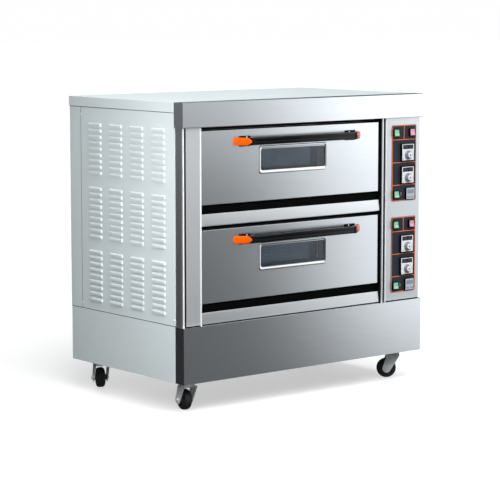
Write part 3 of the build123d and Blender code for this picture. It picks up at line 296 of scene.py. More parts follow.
# ---- mesh building blocks -------------------------------------------------------------------
def node_box(node):
    """Lowest and highest corner of a CAD node, and the point midway."""
    low, high = (Vector(corner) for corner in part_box(node))
    return low, high, (low + high) / 2


def piece(name, body, material, slot, vertices, faces, sharp=35, bevel=0):
    """A closed mesh that rides on a body, smooth except over edges sharper than the angle given."""
    mesh = bpy.data.meshes.new(name)
    mesh.from_pydata([tuple(vertex) for vertex in vertices], [], faces)
    tidy = bmesh.new()
    tidy.from_mesh(mesh)
    bmesh.ops.recalc_face_normals(tidy, faces=tidy.faces)
    tidy.to_mesh(mesh)
    tidy.free()
    mesh.shade_smooth()
    mesh.set_sharp_from_angle(angle=math.radians(sharp))
    mesh.materials.append(MATERIALS[material])
    made = bpy.data.objects.new(name, mesh)
    bpy.context.scene.collection.objects.link(made)
    if bevel:
        modifier = made.modifiers.new("edges", "BEVEL")
        modifier.width = bevel
        modifier.segments = 3
        modifier.limit_method = "ANGLE"
        modifier.harden_normals = True
    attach(made, body)
    return made


def rounded_outline(width, height, radius, steps=6):
    """Points of a rounded rectangle about the origin, anticlockwise."""
    points = []
    for quarter, (i, j) in enumerate(((1, 1), (-1, 1), (-1, -1), (1, -1))):
        for step in range(steps + 1):
            angle = math.pi / 2 * (quarter + step / steps)
            u = i * (width / 2 - radius) + radius * math.cos(angle)
            v = j * (height / 2 - radius) + radius * math.sin(angle)
            points.append((u, v))
    return points


def loft(rings, closed=False, capped=True):
    """Vertices and faces that join rings of equal length, end to end or with capped ends."""
    count = len(rings[0])
    vertices = [vertex for ring in rings for vertex in ring]
    faces = []
    spans = len(rings) if closed else len(rings) - 1
    for i in range(spans):
        a, b = i * count, (i + 1) % len(rings) * count
        faces += [(a + j, a + (j + 1) % count, b + (j + 1) % count, b + j) for j in range(count)]
    if capped and not closed:
        faces.append(tuple(range(count)))
        faces.append(tuple(len(vertices) - count + j for j in range(count)))
    return vertices, faces


def facing(centre, y, outline):
    """A plane outline set upright, facing the front, at a given Y."""
    return [(centre[0] + u, y, centre[2] + v) for u, v in outline]


def front_plate(name, body, material, slot, centre, size, radius, back, front, edge=0.3 * MM):
    """A rounded plate on the front, with a softened front edge."""
    width, height = size
    inner = rounded_outline(width - 2 * edge, height - 2 * edge, max(radius - edge, 0.2 * MM))
    outer = rounded_outline(width, height, radius)
    rings = [facing(centre, back, outer), facing(centre, front + edge, outer), facing(centre, front, inner)]
    return piece(name, body, material, slot, *loft(rings))


def front_ring(name, body, material, slot, centre, stations):
    """A closed ring on the front, through stations of (width, height, radius, y)."""
    rings = [facing(centre, y, rounded_outline(w, h, r, 8)) for w, h, r, y in stations]
    return piece(name, body, material, slot, *loft(rings, closed=True))


def slabs(outlines, back, front):
    """Vertices and faces of thin prisms on the front, one for each outline of (x, z) points."""
    vertices, faces = [], []
    for outline in outlines:
        start = len(vertices)
        count = len(outline)
        vertices += [(x, y, z) for y in (back, front) for x, z in outline]
        for j in range(count):
            k = (j + 1) % count
            faces.append((start + j, start + k, start + count + k, start + count + j))
        faces.append(tuple(start + j for j in range(count)))
        faces.append(tuple(start + count + j for j in range(count)))
    return vertices, faces


def bar(x, z, length, width, angle=0.0):
    """Outline of a straight bar about a point, turned by an angle from the X direction."""
    c, s = math.cos(angle), math.sin(angle)
    u0, v0 = length / 2, width / 2
    corners = ((-u0, -v0), (u0, -v0), (u0, v0), (-u0, v0))
    return [(x + u * c - v * s, z + u * s + v * c) for u, v in corners]


# The bars that each digit lights: top, upper left, upper right, middle, lower left, lower right, bottom.
DIGIT_BARS = {
    "0": "1110111", "1": "0010010", "2": "1011101", "3": "1011011", "4": "0111010",
    "5": "1101011", "6": "1101111", "7": "1010010", "8": "1111111", "9": "1111011",
}


def digit(symbol, x, z, height, stroke):
    """Bars of one seven-bar digit about a point."""
    width = height * 0.52
    half, quarter = height / 2, height / 4
    upright = math.pi / 2
    long, short = half - stroke * 0.5, width - stroke * 0.5
    places = (
        (0, half, short, 0), (-width / 2, quarter, long, upright), (width / 2, quarter, long, upright),
        (0, 0, short, 0), (-width / 2, -quarter, long, upright), (width / 2, -quarter, long, upright),
        (0, -half, short, 0),
    )
    lit = zip(DIGIT_BARS[symbol], places)
    return [bar(x + u, z + v, length, stroke, angle) for on, (u, v, length, angle) in lit if on == "1"]


def number(text, x, z, height, stroke):
    """Bars of a whole number centred on a point."""
    pitch = height * 0.8
    start = x - pitch * (len(text) - 1) / 2
    bars = []
    for place, symbol in enumerate(text):
        bars += digit(symbol, start + place * pitch, z, height, stroke)
    return bars


def turned(profile, centre, axis, segments=48, wave=0.0, waves=0):
    """Rings of a turned shape: profile holds (along, radius), and waves flute every ring."""
    axis = Vector(axis).normalized()
    side = axis.cross(Vector((0, 0, 1))).normalized()
    up = side.cross(axis)
    rings = []
    for along, radius in profile:
        ring = []
        for step in range(segments):
            angle = 2 * math.pi * step / segments
            reach = radius + wave * math.cos(waves * angle)
            outward = side * math.cos(angle) + up * math.sin(angle)
            ring.append(Vector(centre) + axis * along + outward * reach)
        rings.append(ring)
    return rings


# ---- casing: shadow gaps, painted highlights on the edges, sill facings in a lighter steel for painted light ---
FACING = 0.3 * MM
SILL_HEIGHT = 45.5 * MM
FRONT_SEAM = 3.5 * MM
SIDE_SEAM = 2.2 * MM
BEAD = 5.5 * MM
BEAD_STEPS = 6
BEAD_PROUD = 0.2
SILL_LEAN = 5.5 * MM
PILLAR_GAP = (10 * MM, 17 * MM)
PILLAR_BEAD_IN = 6.5 * MM
PILLAR_BEAD_SUNK = 0.8 * MM
OPENING_EDGE_OUT = 2.8 * MM
COLUMN_BEAD_IN = 3.2 * MM
COLUMN_SEAM_SHORT = 4 * MM
JAMB_INSET = 9 * MM
STOP_REACH = 8 * MM
DOOR_STOP_BACK = 20 * MM
DOOR_STOP_ABOVE = 14 * MM


def front_strip(name, material, slot, x_limits, z_limits, face, proud=FACING):
    """A thin strip laid on the front at a given Y."""
    (x0, x1), (z0, z1) = x_limits, z_limits
    shape = slabs([[(x0, z0), (x1, z0), (x1, z1), (x0, z1)]], face, face - proud)
    return piece(name, "root", material, slot, *shape)


def side_strip(name, side, y_limits, z_limits, face):
    """A thin dark strip laid on a side of the casing at a given X."""
    (y0, y1), (z0, z1) = y_limits, z_limits
    corners = ((y0, z0), (y1, z0), (y1, z1), (y0, z1))
    rings = [[(x, y, z) for y, z in corners] for x in (face, face + side * FACING)]
    return piece(name, "root", "gap", "black_moulding", *loft(rings))


def bead(name, x, face, z_limits, width=BEAD):
    """An upright bead with a rounded face, in near-white as a painted highlight on a rounded steel edge."""
    section = []
    for step in range(BEAD_STEPS + 1):
        angle = math.pi * step / BEAD_STEPS
        section.append((x - width / 2 * math.cos(angle), face - BEAD_PROUD * width * math.sin(angle)))
    rings = [[(u, y, z) for u, y in section] for z in z_limits]
    return piece(name, "root", "edge", "stainless", *loft(rings))


def sill_face(deck, x_limits, z_limits, face):
    """Sill facing that leans back towards its top."""
    z0, z1 = z_limits
    low_y = face - SILL_LEAN
    section = ((face, z0), (low_y, z0), (low_y, z0 + 1 * MM), (face - FACING, z1), (face, z1))
    rings = [[(x, y, z) for y, z in section] for x in x_limits]
    # The facing takes the lighter sill steel, which carries painted light.
    return piece(f"{deck}_sill_face", "root", "sill", "stainless", *loft(rings))


def front_trims():
    """Shadow gaps round the pillar, sills and control column, with near-white strips of painted highlight on
    the edges beside them.
    """
    low, high, _ = node_box("front_surround")
    column_low, column_high, _ = node_box("control_cover")
    opening = node_box("recess_bars")[0].x
    door_low, door_high, _ = node_box("lower_door_panel")
    jamb = high.x - JAMB_INSET
    whole = (low.z, high.z)
    seam = (low.z, low.z + FRONT_SEAM)
    slot = "black_moulding"
    gap_x = (low.x + PILLAR_GAP[0], low.x + PILLAR_GAP[1])
    front_strip("pillar_gap", "gap", slot, gap_x, whole, low.y)
    bead("pillar_highlight_bead", low.x + PILLAR_BEAD_IN, low.y + PILLAR_BEAD_SUNK, whole)
    bead("pillar_edge_highlight", opening - OPENING_EDGE_OUT, low.y, whole)
    front_strip("pillar_seam", "gap", slot, (gap_x[0], opening), seam, low.y, 2 * FACING)
    column_x = (column_low.x, column_high.x - COLUMN_SEAM_SHORT)
    front_strip("column_seam", "gap", slot, column_x, seam, low.y, 2 * FACING)
    bead("column_highlight_bead", column_low.x + COLUMN_BEAD_IN, low.y, whole)
    face = door_low.y
    sill_x = (opening + 0.5 * MM, door_high.x + 1 * MM)
    pitch = node_box("upper_door_panel")[0].z - door_low.z
    for deck, lift in zip(DECKS, (0, pitch)):
        top = low.z + SILL_HEIGHT + lift
        limits = (top - SILL_HEIGHT, top)
        door_stop = (top, door_high.z + lift + DOOR_STOP_ABOVE)
        sill_face(deck, sill_x, (limits[0] + FRONT_SEAM, limits[1] - 1 * MM), face)
        front_strip(f"{deck}_sill_end", "gap", slot, (sill_x[1], jamb), limits, face)
        side_strip(f"{deck}_sill_stop", -1, (face - STOP_REACH, face), limits, jamb)
        side_strip(f"{deck}_door_stop", -1, (face - STOP_REACH, face + DOOR_STOP_BACK), door_stop, jamb)
    front_strip("sill_seam", "gap", slot, (opening, jamb), seam, face, 2 * FACING)


def side_seams():
    """Dark joint lines between side panel, rear casing, top cover and plinth."""
    casing_low, casing_high, _ = node_box("rear_casing")
    run = (node_box("left_panel")[0].y, casing_high.y - 4 * MM)
    for side, name in ((-1, "left"), (1, "right")):
        face = casing_high.x * side
        side_strip(f"{name}_base_seam", side, run, (casing_low.z, casing_low.z + SIDE_SEAM), face)
        side_strip(f"{name}_cover_seam", side, run, (casing_high.z - SIDE_SEAM, casing_high.z), face)
        split = (casing_low.y - 0.5 * SIDE_SEAM, casing_low.y + 0.2 * SIDE_SEAM)
        side_strip(f"{name}_rear_seam", side, split, (casing_low.z, casing_high.z), face)


# ---- doors: window rims, gaskets, handles -----------------------------------------------------
RIM_RADIUS = 10 * MM
GLASS_RADIUS = 8 * MM
GLASS_LAP = 3 * MM
GASKET_LIP = 2.2 * MM
# Each entry is the share of the way in to the glass, and how proud the rim stands there in millimetres.
RIM_PROFILE = (
    (0, 0), (0, 1.4), (0.12, 2.5), (0.3, 3.0), (0.5, 2.7), (0.66, 1.5), (0.82, 0.9), (1, 0.7), (1, 0),
)


def window_rim(deck):
    """Pressed rim round a door window: a rolled bead outside, and a flat that slopes in to the glass."""
    low, high, centre = node_box(f"{deck}_window_frame")
    glass_low, glass_high, _ = node_box(f"{deck}_window_glass")
    glass_width, glass_height = glass_high.x - glass_low.x, glass_high.z - glass_low.z
    outer = (high.x - low.x, high.z - low.z, RIM_RADIUS)
    inner = (glass_width - GLASS_LAP, glass_height - GLASS_LAP, GLASS_RADIUS)
    stations = []
    for inward, proud in RIM_PROFILE:
        size = [a + (b - a) * inward for a, b in zip(outer, inner)]
        stations.append((*size, high.y - proud * MM))
    rim = front_ring(f"{deck}_window_rim", f"{deck}_door", "rim", "door_stainless", centre, stations)
    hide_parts(f"{deck}_window_frame")
    gasket = []
    for shrink, y in ((0, 0), (0, -0.9 * MM), (GASKET_LIP, -0.3 * MM), (GASKET_LIP, 0.6 * MM)):
        gasket.append((inner[0] - shrink, inner[1] - shrink, inner[2] - shrink / 2, high.y + y))
    front_ring(f"{deck}_window_gasket", f"{deck}_door", "gasket", "black_moulding", centre, gasket)


BAR_PROFILE_STEPS = 5
BRACKET_WIDTH = 38 * MM
FOOT_LENGTH = 50 * MM
FOOT_THICKNESS = 4 * MM
BAR_THICKNESS = 15 * MM
BAR_HEIGHT = 28 * MM
CAP_THICKNESS = 3 * MM
BAR_EDGE = 5 * MM
GROOVE_HALF = 2.2 * MM
GROOVE_SINK = 0.9 * MM
END_SHRINK = 0.94
TIP_INSET = 58 * MM
BAR_INSET = 15 * MM


def handle_bar(deck, low, high, half):
    """Long bar with rounded edges and a shallow groove along its face."""
    centre = (low + high) / 2
    front, back = low.y, low.y + BAR_THICKNESS
    tall = BAR_HEIGHT / 2
    section = []
    for corner, (y, z, start) in enumerate((
        (front + BAR_EDGE, tall - BAR_EDGE, 90), (front + BAR_EDGE, BAR_EDGE - tall, 180),
        (back - BAR_EDGE, BAR_EDGE - tall, 270), (back - BAR_EDGE, tall - BAR_EDGE, 0),
    )):
        for step in range(BAR_PROFILE_STEPS + 1):
            angle = math.radians(start + 90 * step / BAR_PROFILE_STEPS)
            section.append((y + BAR_EDGE * math.cos(angle), z + BAR_EDGE * math.sin(angle)))
        if corner == 0:
            for rise, sink in ((1.6, 0), (1, GROOVE_SINK), (-1, GROOVE_SINK), (-1.6, 0)):
                section.append((front + sink, GROOVE_HALF * rise))
    middle = (front + back) / 2
    ends = []
    for x, shrink in ((-half, END_SHRINK), (-half + 1 * MM, 1), (half - 1 * MM, 1), (half, END_SHRINK)):
        ends.append([
            (centre.x + x, middle + (y - middle) * shrink, centre.z + z * shrink) for y, z in section
        ])
    return piece(f"{deck}_handle_bar", f"{deck}_door", "handle", "handle_black", *loft(ends), sharp=50)


# Each entry is the distance along the screw and its radius there, in millimetres.
SCREW_PROFILE = ((0, 2.9), (-0.7, 2.7), (-1.2, 1.9), (-1.3, 1.2), (-0.6, 1.1))


def handle_bracket(deck, side, low, high, tip_half, foot_half, bar_half):
    """Sloped end bracket of a handle, with a foot flange on the door."""
    centre = (low + high) / 2
    front, back = low.y, high.y
    reach = back - front
    shift = CAP_THICKNESS * math.hypot(foot_half - tip_half, reach) / reach
    heel = foot_half - BRACKET_WIDTH
    outline = [
        (foot_half - shift, back), (tip_half - shift, front), (bar_half, front),
        (bar_half, front + BAR_THICKNESS), (heel, back),
    ]
    rings = []
    for z in (-BAR_HEIGHT / 2, BAR_HEIGHT / 2):
        rings.append([(centre.x + side * u, y, centre.z + z) for u, y in outline])
    name = "left" if side < 0 else "right"
    look = ("handle", "handle_black")
    piece(f"{deck}_handle_bracket_{name}", f"{deck}_door", *look, *loft(rings), bevel=1.6 * MM)
    foot_end = heel - FOOT_LENGTH
    tall = (high.z - low.z) / 2
    top = back - FOOT_THICKNESS
    plan = [(heel + 6 * MM, back), (heel + 6 * MM, top), (foot_end + 8 * MM, top), (foot_end, back)]
    rings = []
    for z in (-tall, tall):
        rings.append([(centre.x + side * u, y, centre.z + z) for u, y in plan])
    piece(f"{deck}_handle_foot_{name}", f"{deck}_door", *look, *loft(rings), bevel=1.2 * MM)
    for z, level in ((-1, "low"), (1, "high")):
        screw = (centre.x + side * (heel - 0.55 * FOOT_LENGTH), top, centre.z + z * 0.72 * tall)
        rings = turned([(along * MM, radius * MM) for along, radius in SCREW_PROFILE], screw, (0, 1, 0), 16)
        piece(f"{deck}_handle_screw_{name}_{level}", f"{deck}_door", "zinc", "zinc", *loft(rings))


CAP_STATIONS = 26
CAP_POINTS = 12
CAP_HALF = 14.2 * MM
CAP_NOSE = 26 * MM
CAP_BUTT = 8 * MM


def handle_cap(deck, side, low, high, tip_half, foot_half):
    """Bullet-shaped orange cover, crowned across, on the sloped outside of a bracket."""
    centre = (low + high) / 2
    reach = high.y - low.y
    slope = Vector((-(foot_half - tip_half) * side, -reach, 0))
    length = slope.length - 3 * MM
    along = slope.normalized()
    outward = Vector((side * reach, -(foot_half - tip_half), 0)).normalized()
    start = Vector((centre.x + side * foot_half, high.y, centre.z)) + along * 2 * MM - outward * CAP_THICKNESS
    rings = []
    for station in range(CAP_STATIONS + 1):
        run = 0.5 * (1 - math.cos(math.pi * station / CAP_STATIONS))
        distance = run * length
        past = max(0.0, distance - (length - CAP_NOSE)) / CAP_NOSE
        butt = max(0.0, 1 - distance / CAP_BUTT)
        half = CAP_HALF * max(0.0, 1 - past**1.9) ** 0.7 * math.sqrt(1 - 0.6 * butt**2) + 0.25 * MM
        lift = CAP_THICKNESS * (1 - 0.55 * past**2) * (0.45 + 0.55 * min(1.0, distance / (6 * MM)))
        ring = []
        for point in range(CAP_POINTS + 1):
            v = -math.cos(math.pi * point / CAP_POINTS)
            crown = lift * (1 - abs(v) ** 3.2)
            ring.append(start + along * distance + Vector((0, 0, v * half)) + outward * (crown + 0.05 * MM))
        ring += [start + along * distance + Vector((0, 0, v * half)) for v in (0.96, 0.0, -0.96)]
        rings.append(ring)
    name = "left" if side < 0 else "right"
    return piece(f"{deck}_handle_cap_{name}", f"{deck}_door", "orange", "orange", *loft(rings), sharp=60)


def handles(deck):
    """One door's whole handle, in place of its plain CAD pieces."""
    low, high, _ = node_box(f"{deck}_handle")
    cap_low, cap_high, _ = node_box(f"{deck}_handle_caps")
    foot_half = (cap_high.x - cap_low.x) / 2
    tip_half = foot_half - TIP_INSET
    bar_half = tip_half - BAR_INSET
    bar_piece = handle_bar(deck, low, high, bar_half)
    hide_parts(f"{deck}_handle")
    for side in (-1, 1):
        handle_bracket(deck, side, low, high, tip_half, foot_half, bar_half)
        cap = handle_cap(deck, side, low, high, tip_half, foot_half)
        if side < 0:
            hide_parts(f"{deck}_handle_caps")


# ---- control column ----------------------------------------------------------------------------
RULE_WIDTH = 2.6 * MM
RULE_PROUD = 0.25 * MM
RULE_DROPS = (59, 151, 242)
RULE_SPLIT_X = -0.9 * MM
RULE_INSET = 1.0 * MM
PLATE_HEIGHT = 307 * MM
PLATE_RADIUS = 6 * MM
PLATE_ABOVE_SWITCH = 31 * MM
INDICATOR_ASIDE = 29 * MM
INDICATOR_FRAME = (12 * MM, 20 * MM)
INDICATOR_LENS = (8.5 * MM, 16 * MM)


def plate_rules(deck):
    """Printed orange border and dividing rules of one deck's control plate."""
    low, high, middle = node_box("control_plates")
    heat = node_box(f"{deck}_heat_rocker")[2]
    top = RECORD_JOINTS[f"{deck}_heat_rocker_tip"]["pos_m"][2] + PLATE_ABOVE_SWITCH
    width = high.x - low.x
    centre = Vector((middle.x, 0, top - PLATE_HEIGHT / 2))
    front, back = low.y - RULE_PROUD, low.y
    edge = RULE_INSET
    stations = []
    for inset, y in ((edge, back), (edge, front), (edge + RULE_WIDTH, front), (edge + RULE_WIDTH, back)):
        stations.append((width - 2 * inset, PLATE_HEIGHT - 2 * inset, PLATE_RADIUS - inset, y))
    front_ring(f"{deck}_plate_border", "root", "rule", "orange", centre, stations)
    inner_width = width - 2 * (edge + RULE_WIDTH)
    bars = [bar(centre.x, top - drop * MM, inner_width, RULE_WIDTH) for drop in RULE_DROPS]
    split = RULE_DROPS[0] * MM - edge - RULE_WIDTH * 1.5
    split_z = top - edge - RULE_WIDTH - split / 2
    bars.append(bar(centre.x + RULE_SPLIT_X, split_z, split, RULE_WIDTH, math.pi / 2))
    piece(f"{deck}_plate_rules", "root", "rule", "orange", *slabs(bars, back, front))
    lamp_place = (heat.x + INDICATOR_ASIDE, 0, node_box(f"{deck}_steam_rocker")[2].z + 1 * MM)
    front_plate(
        f"{deck}_indicator_frame", "root", "moulding", "black_moulding", lamp_place,
        INDICATOR_FRAME, 2 * MM, back, back - 1.4 * MM, 0.5 * MM,
    )
    front_plate(
        f"{deck}_indicator_lens", "root", "amber", "orange", lamp_place,
        INDICATOR_LENS, 2 * MM, back - 1.3 * MM, back - 2.6 * MM, 0.8 * MM,
    )


DIAL_LABELS = ("0", "50", "100", "150", "200", "250", "300")
DIAL_START = math.radians(225)
DIAL_SWEEP = math.radians(270)
TICK_RADIUS = 19.6 * MM
NUMBER_RADIUS = 25.2 * MM


def dial_print(name, knob, y):
    """Scale ticks and numbers round a controller's knob."""
    outlines = []
    steps = 2 * (len(DIAL_LABELS) - 1)
    for step in range(steps + 1):
        angle = DIAL_START - DIAL_SWEEP * step / steps
        major = step % 2 == 0
        length = (2.0 if major else 1.2) * MM
        radius = TICK_RADIUS + length / 2
        x, z = knob.x + radius * math.cos(angle), knob.z + radius * math.sin(angle)
        outlines.append(bar(x, z, length, 0.45 * MM, angle))
        if major:
            radius = NUMBER_RADIUS
            x, z = knob.x + radius * math.cos(angle), knob.z + radius * math.sin(angle) * 0.92
            outlines += number(DIAL_LABELS[step // 2], x, z, 2.3 * MM, 0.35 * MM)
    return piece(f"{name}_scale", "root", "print", "black_moulding", *slabs(outlines, y, y - 0.08 * MM))


CONTROLLER_FACE = 65.4 * MM
CONTROLLER_LIFT = 11 * MM
DISPLAY_LIFT = 21 * MM
DISPLAY_SIZE = (56 * MM, 17 * MM)
DISPLAY_SPREAD = 13 * MM
DISPLAY_DIGIT = (9 * MM, 1.1 * MM)
LAMP_OFFSET = (26 * MM, 26.5 * MM)
KNOB_GAP = 0.3 * MM
KNOB_FLUTE = (0.28 * MM, 24)
KNOB_MARK = (3.4 * MM, 1.3 * MM)
KNOB_MARK_RADIUS = 15.3 * MM
# Profiles of the knob, each entry a distance behind its front and a radius, in millimetres.
GRIP_PROFILE = ((2.2, 12.9), (0.9, 12.6), (0.3, 11.9))
DISC_PROFILE = ((1.2, 11.4), (0.25, 11.3), (0.05, 10.9), (0.35, 3.0), (0.4, 0.6))
LAMP_PROFILE = ((0, 1.9), (-0.5, 1.7), (-0.8, 1.0))


def controller(deck, which):
    """White face, dark display with pale digits, scale and two-tone knob of a temperature controller."""
    name = f"{deck}_{which}_heat"
    node = f"{name}_knob"
    knob_front = node_box(node)[0].y
    knob = Vector(RECORD_JOINTS[f"{node}_turn"]["pos_m"])
    face_y = node_box("instruments")[0].y + 1 * MM
    centre = knob + Vector((0, 0, CONTROLLER_LIFT))
    face = face_y - 0.2 * MM
    front_plate(
        f"{name}_face", "root", "face", "knob_grey", centre,
        (CONTROLLER_FACE, CONTROLLER_FACE), 2 * MM, face_y, face, 0.08 * MM,
    )
    screen = centre + Vector((0, 0, DISPLAY_LIFT))
    front_plate(
        f"{name}_display", "root", "screen", "black_moulding", screen,
        DISPLAY_SIZE, 1.5 * MM, face, face - 0.5 * MM, 0.3 * MM,
    )
    digits = number("200", screen.x - DISPLAY_SPREAD, screen.z, *DISPLAY_DIGIT)
    digits += number("180", screen.x + DISPLAY_SPREAD, screen.z, *DISPLAY_DIGIT)
    piece(f"{name}_digits", "root", "segment", "knob_grey", *slabs(digits, face - 0.5 * MM, face - 0.58 * MM))
    dial_print(name, knob, face)
    dot = (centre.x - LAMP_OFFSET[0], face, centre.z - LAMP_OFFSET[1])
    rings = turned([(along * MM, r * MM) for along, r in LAMP_PROFILE], dot, (0, 1, 0), 20)
    piece(f"{name}_lamp", "root", "amber", "orange", *loft(rings))
    knob_base = knob.copy()
    knob_base.y = knob_front
    depth = face_y - KNOB_GAP - knob_front
    skirt = (
        (depth, 17.4), (depth, 18), (depth - 2.6 * MM, 17.7), (depth - 4 * MM, 16.2),
        (depth - 4.6 * MM, 14.2),
    )
    rings = turned([(along, r * MM) for along, r in skirt], knob_base, (0, 1, 0), 96)
    skirt_piece = piece(f"{name}_knob_skirt", node, "knob", "knob_grey", *loft(rings))
    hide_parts(node)
    grip = [(depth - 3 * MM, 13.3 * MM)] + [(along * MM, r * MM) for along, r in GRIP_PROFILE]
    rings = turned(grip, knob_base, (0, 1, 0), 96, *KNOB_FLUTE)
    piece(f"{name}_knob_grip", node, "knob", "knob_grey", *loft(rings))
    rings = turned([(along * MM, r * MM) for along, r in DISC_PROFILE], knob_base, (0, 1, 0), 64)
    piece(f"{name}_knob_disc", node, "face", "knob_grey", *loft(rings))
    mark_back = knob_front + depth - 4 * MM
    outline = bar(knob.x, knob.z + KNOB_MARK_RADIUS, *KNOB_MARK, math.pi / 2)
    mark = slabs([outline], mark_back, mark_back - 0.9 * MM)
    piece(f"{name}_knob_mark", node, "print", "black_moulding", *mark)


TIMER_HALF = 22.3 * MM
TIMER_LIFT = 13 * MM
KEY_CLEARANCE = 0.5 * MM
TIMER_SCREEN_LIFT = 8.5 * MM
TIMER_SCREEN_SIZE = (38 * MM, 18 * MM)
TIMER_SPREAD = 9 * MM
TIMER_DIGIT = (10 * MM, 1.2 * MM)
COLON_DOT = 1.3 * MM


def timer(deck):
    """Grey face, screen and digits of a timer, above its two keys."""
    left = node_box(f"{deck}_timer_left_key")
    right = node_box(f"{deck}_timer_right_key")
    keys = (left[2] + right[2]) / 2
    centre = keys + Vector((0, 0, TIMER_LIFT))
    front = left[0].y + 1.2 * MM
    half = TIMER_HALF
    proud = 0.35 * MM
    low_key, high_key = left[0].z - KEY_CLEARANCE, left[1].z + KEY_CLEARANCE
    column = [
        centre.x - half, left[0].x - KEY_CLEARANCE, left[1].x + KEY_CLEARANCE,
        right[0].x - KEY_CLEARANCE, right[1].x + KEY_CLEARANCE, centre.x + half,
    ]
    across = ((column[0], column[5]),)
    beside = ((column[0], column[1]), (column[2], column[3]), (column[4], column[5]))
    spans = (
        (centre.z - half, low_key, across), (low_key, high_key, beside), (high_key, centre.z + half, across),
    )
    outlines = []
    for bottom, top, limits in spans:
        for x0, x1 in limits:
            outlines.append([(x0, bottom), (x1, bottom), (x1, top), (x0, top)])
    piece(f"{deck}_timer_face", "root", "timer", "key_grey", *slabs(outlines, front, front - proud))
    screen = centre + Vector((0, 0, TIMER_SCREEN_LIFT))
    front_plate(
        f"{deck}_timer_screen", "root", "liquid", "key_grey", screen,
        TIMER_SCREEN_SIZE, 1.5 * MM, front - proud, front - proud - 0.4 * MM, 0.25 * MM,
    )
    digits = number("00", screen.x - TIMER_SPREAD, screen.z, *TIMER_DIGIT)
    digits += number("30", screen.x + TIMER_SPREAD, screen.z, *TIMER_DIGIT)
    for lift in (-2.2, 2.2):
        digits.append(bar(screen.x, screen.z + lift * MM, COLON_DOT, COLON_DOT))
    y = front - proud - 0.4 * MM
    piece(f"{deck}_timer_digits", "root", "print", "black_moulding", *slabs(digits, y, y - 0.08 * MM))


ROCKER_TILT = math.radians(10)


def rocker_marks(deck, which):
    """The line and ring moulded on the two halves of a rocker."""
    node = f"{deck}_{which}_rocker"
    place = Vector(RECORD_JOINTS[f"{node}_tip"]["pos_m"])
    pivot = Matrix.Translation(place) @ Matrix.Rotation(-ROCKER_TILT, 4, "X")
    line, _ = slabs([bar(0, 6.5 * MM, 0.9 * MM, 5 * MM)], -4.33 * MM - 0.05 * MM, -4.33 * MM - 0.35 * MM)
    vertices = [pivot @ Vector(vertex) for vertex in line]
    faces = slabs([bar(0, 0, 1, 1)], 0, 1)[1]
    count = 24
    for radius, y in ((2.6, -4.1), (2.6, -4.75), (1.9, -4.75), (1.9, -4.1)):
        for step in range(count):
            angle = 2 * math.pi * step / count
            point = Vector((radius * math.cos(angle), y, radius * math.sin(angle) - 6.5)) * MM
            vertices.append(pivot @ point)
    for ring in range(4):
        a, b = 8 + ring * count, 8 + (ring + 1) % 4 * count
        faces += [(a + j, a + (j + 1) % count, b + (j + 1) % count, b + j) for j in range(count)]
    piece(f"{node}_marks", node, "face", "knob_grey", vertices, faces)


# ---- casters -------------------------------------------------------------------------------------
TYRE_PROFILE = (
    (-13.6, 26.0), (-14.6, 27.5), (-15.6, 29.2), (-15.9, 31.5), (-15.2, 34.2), (-13.2, 36.8), (-10.2, 38.7),
    (-6.5, 39.7), (-1.0, 40.0), (-0.5, 39.6), (0.5, 39.6), (1.0, 40.0), (6.5, 39.7), (10.2, 38.7),
    (13.2, 36.8), (15.2, 34.2), (15.9, 31.5), (15.6, 29.2), (14.6, 27.5), (13.6, 26.0),
)
HUB_PROFILE = (
    (-25.2, 5.2), (-25.2, 9.0), (-24.6, 10.2), (-17.5, 11.6), (-13.5, 13.5), (-11.0, 17.0), (-10.0, 22.0),
    (-11.5, 25.0), (-13.0, 26.2), (13.0, 26.2), (11.5, 25.0), (10.0, 22.0), (11.0, 17.0), (13.5, 13.5),
    (17.5, 11.6), (24.6, 10.2), (25.2, 9.0), (25.2, 5.2),
)


def caster(place):
    """Rubber tyre and moulded hub of a caster wheel, in place of the plain CAD wheel."""
    node = f"caster_wheel_{place}"
    joint = RECORD_JOINTS[f"roll_{place}"]
    centre, axis = Vector(joint["pos_m"]), Vector(joint["axis"])
    rings = turned([(along * MM, radius * MM) for along, radius in TYRE_PROFILE], centre, axis, 96)
    tyre = piece(f"{place}_tyre", node, "tyre", "tyre", *loft(rings, closed=True), sharp=50)
    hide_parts(node)
    rings = turned([(along * MM, radius * MM) for along, radius in HUB_PROFILE], centre, axis, 64)
    piece(f"{place}_hub", node, "hub", "black_moulding", *loft(rings, closed=True), sharp=40)


# ---- room -----------------------------------------------------------------------------------
FLOOR_HALF = 60
FILL_TONE = (0.05, 0.052, 0.055)
MIRRORED_TONE = (0.11, 0.115, 0.12)
BACKDROP_TONE = (0.995, 0.995, 0.995)


def area_light(name, place, target, size, power):
    """A rectangular soft light that faces a target and stays out of every view."""
    data = bpy.data.lights.new(name, "AREA")
    data.shape = "RECTANGLE"
    data.size, data.size_y = size
    data.energy = power
    light = bpy.data.objects.new(name, data)
    light.location = place
    light.rotation_euler = (Vector(target) - Vector(place)).to_track_quat("-Z", "Y").to_euler()
    light.visible_camera = False
    light.visible_glossy = False
    bpy.context.scene.collection.objects.link(light)


def sky_light(name, direction, strength, spread_degrees):
    """A very soft light from one side that is as strong everywhere."""
    data = bpy.data.lights.new(name, "SUN")
    data.energy = strength
    data.angle = math.radians(spread_degrees)
    light = bpy.data.objects.new(name, data)
    light.rotation_euler = Vector(direction).to_track_quat("-Z", "Y").to_euler()
    bpy.context.scene.collection.objects.link(light)
    return light


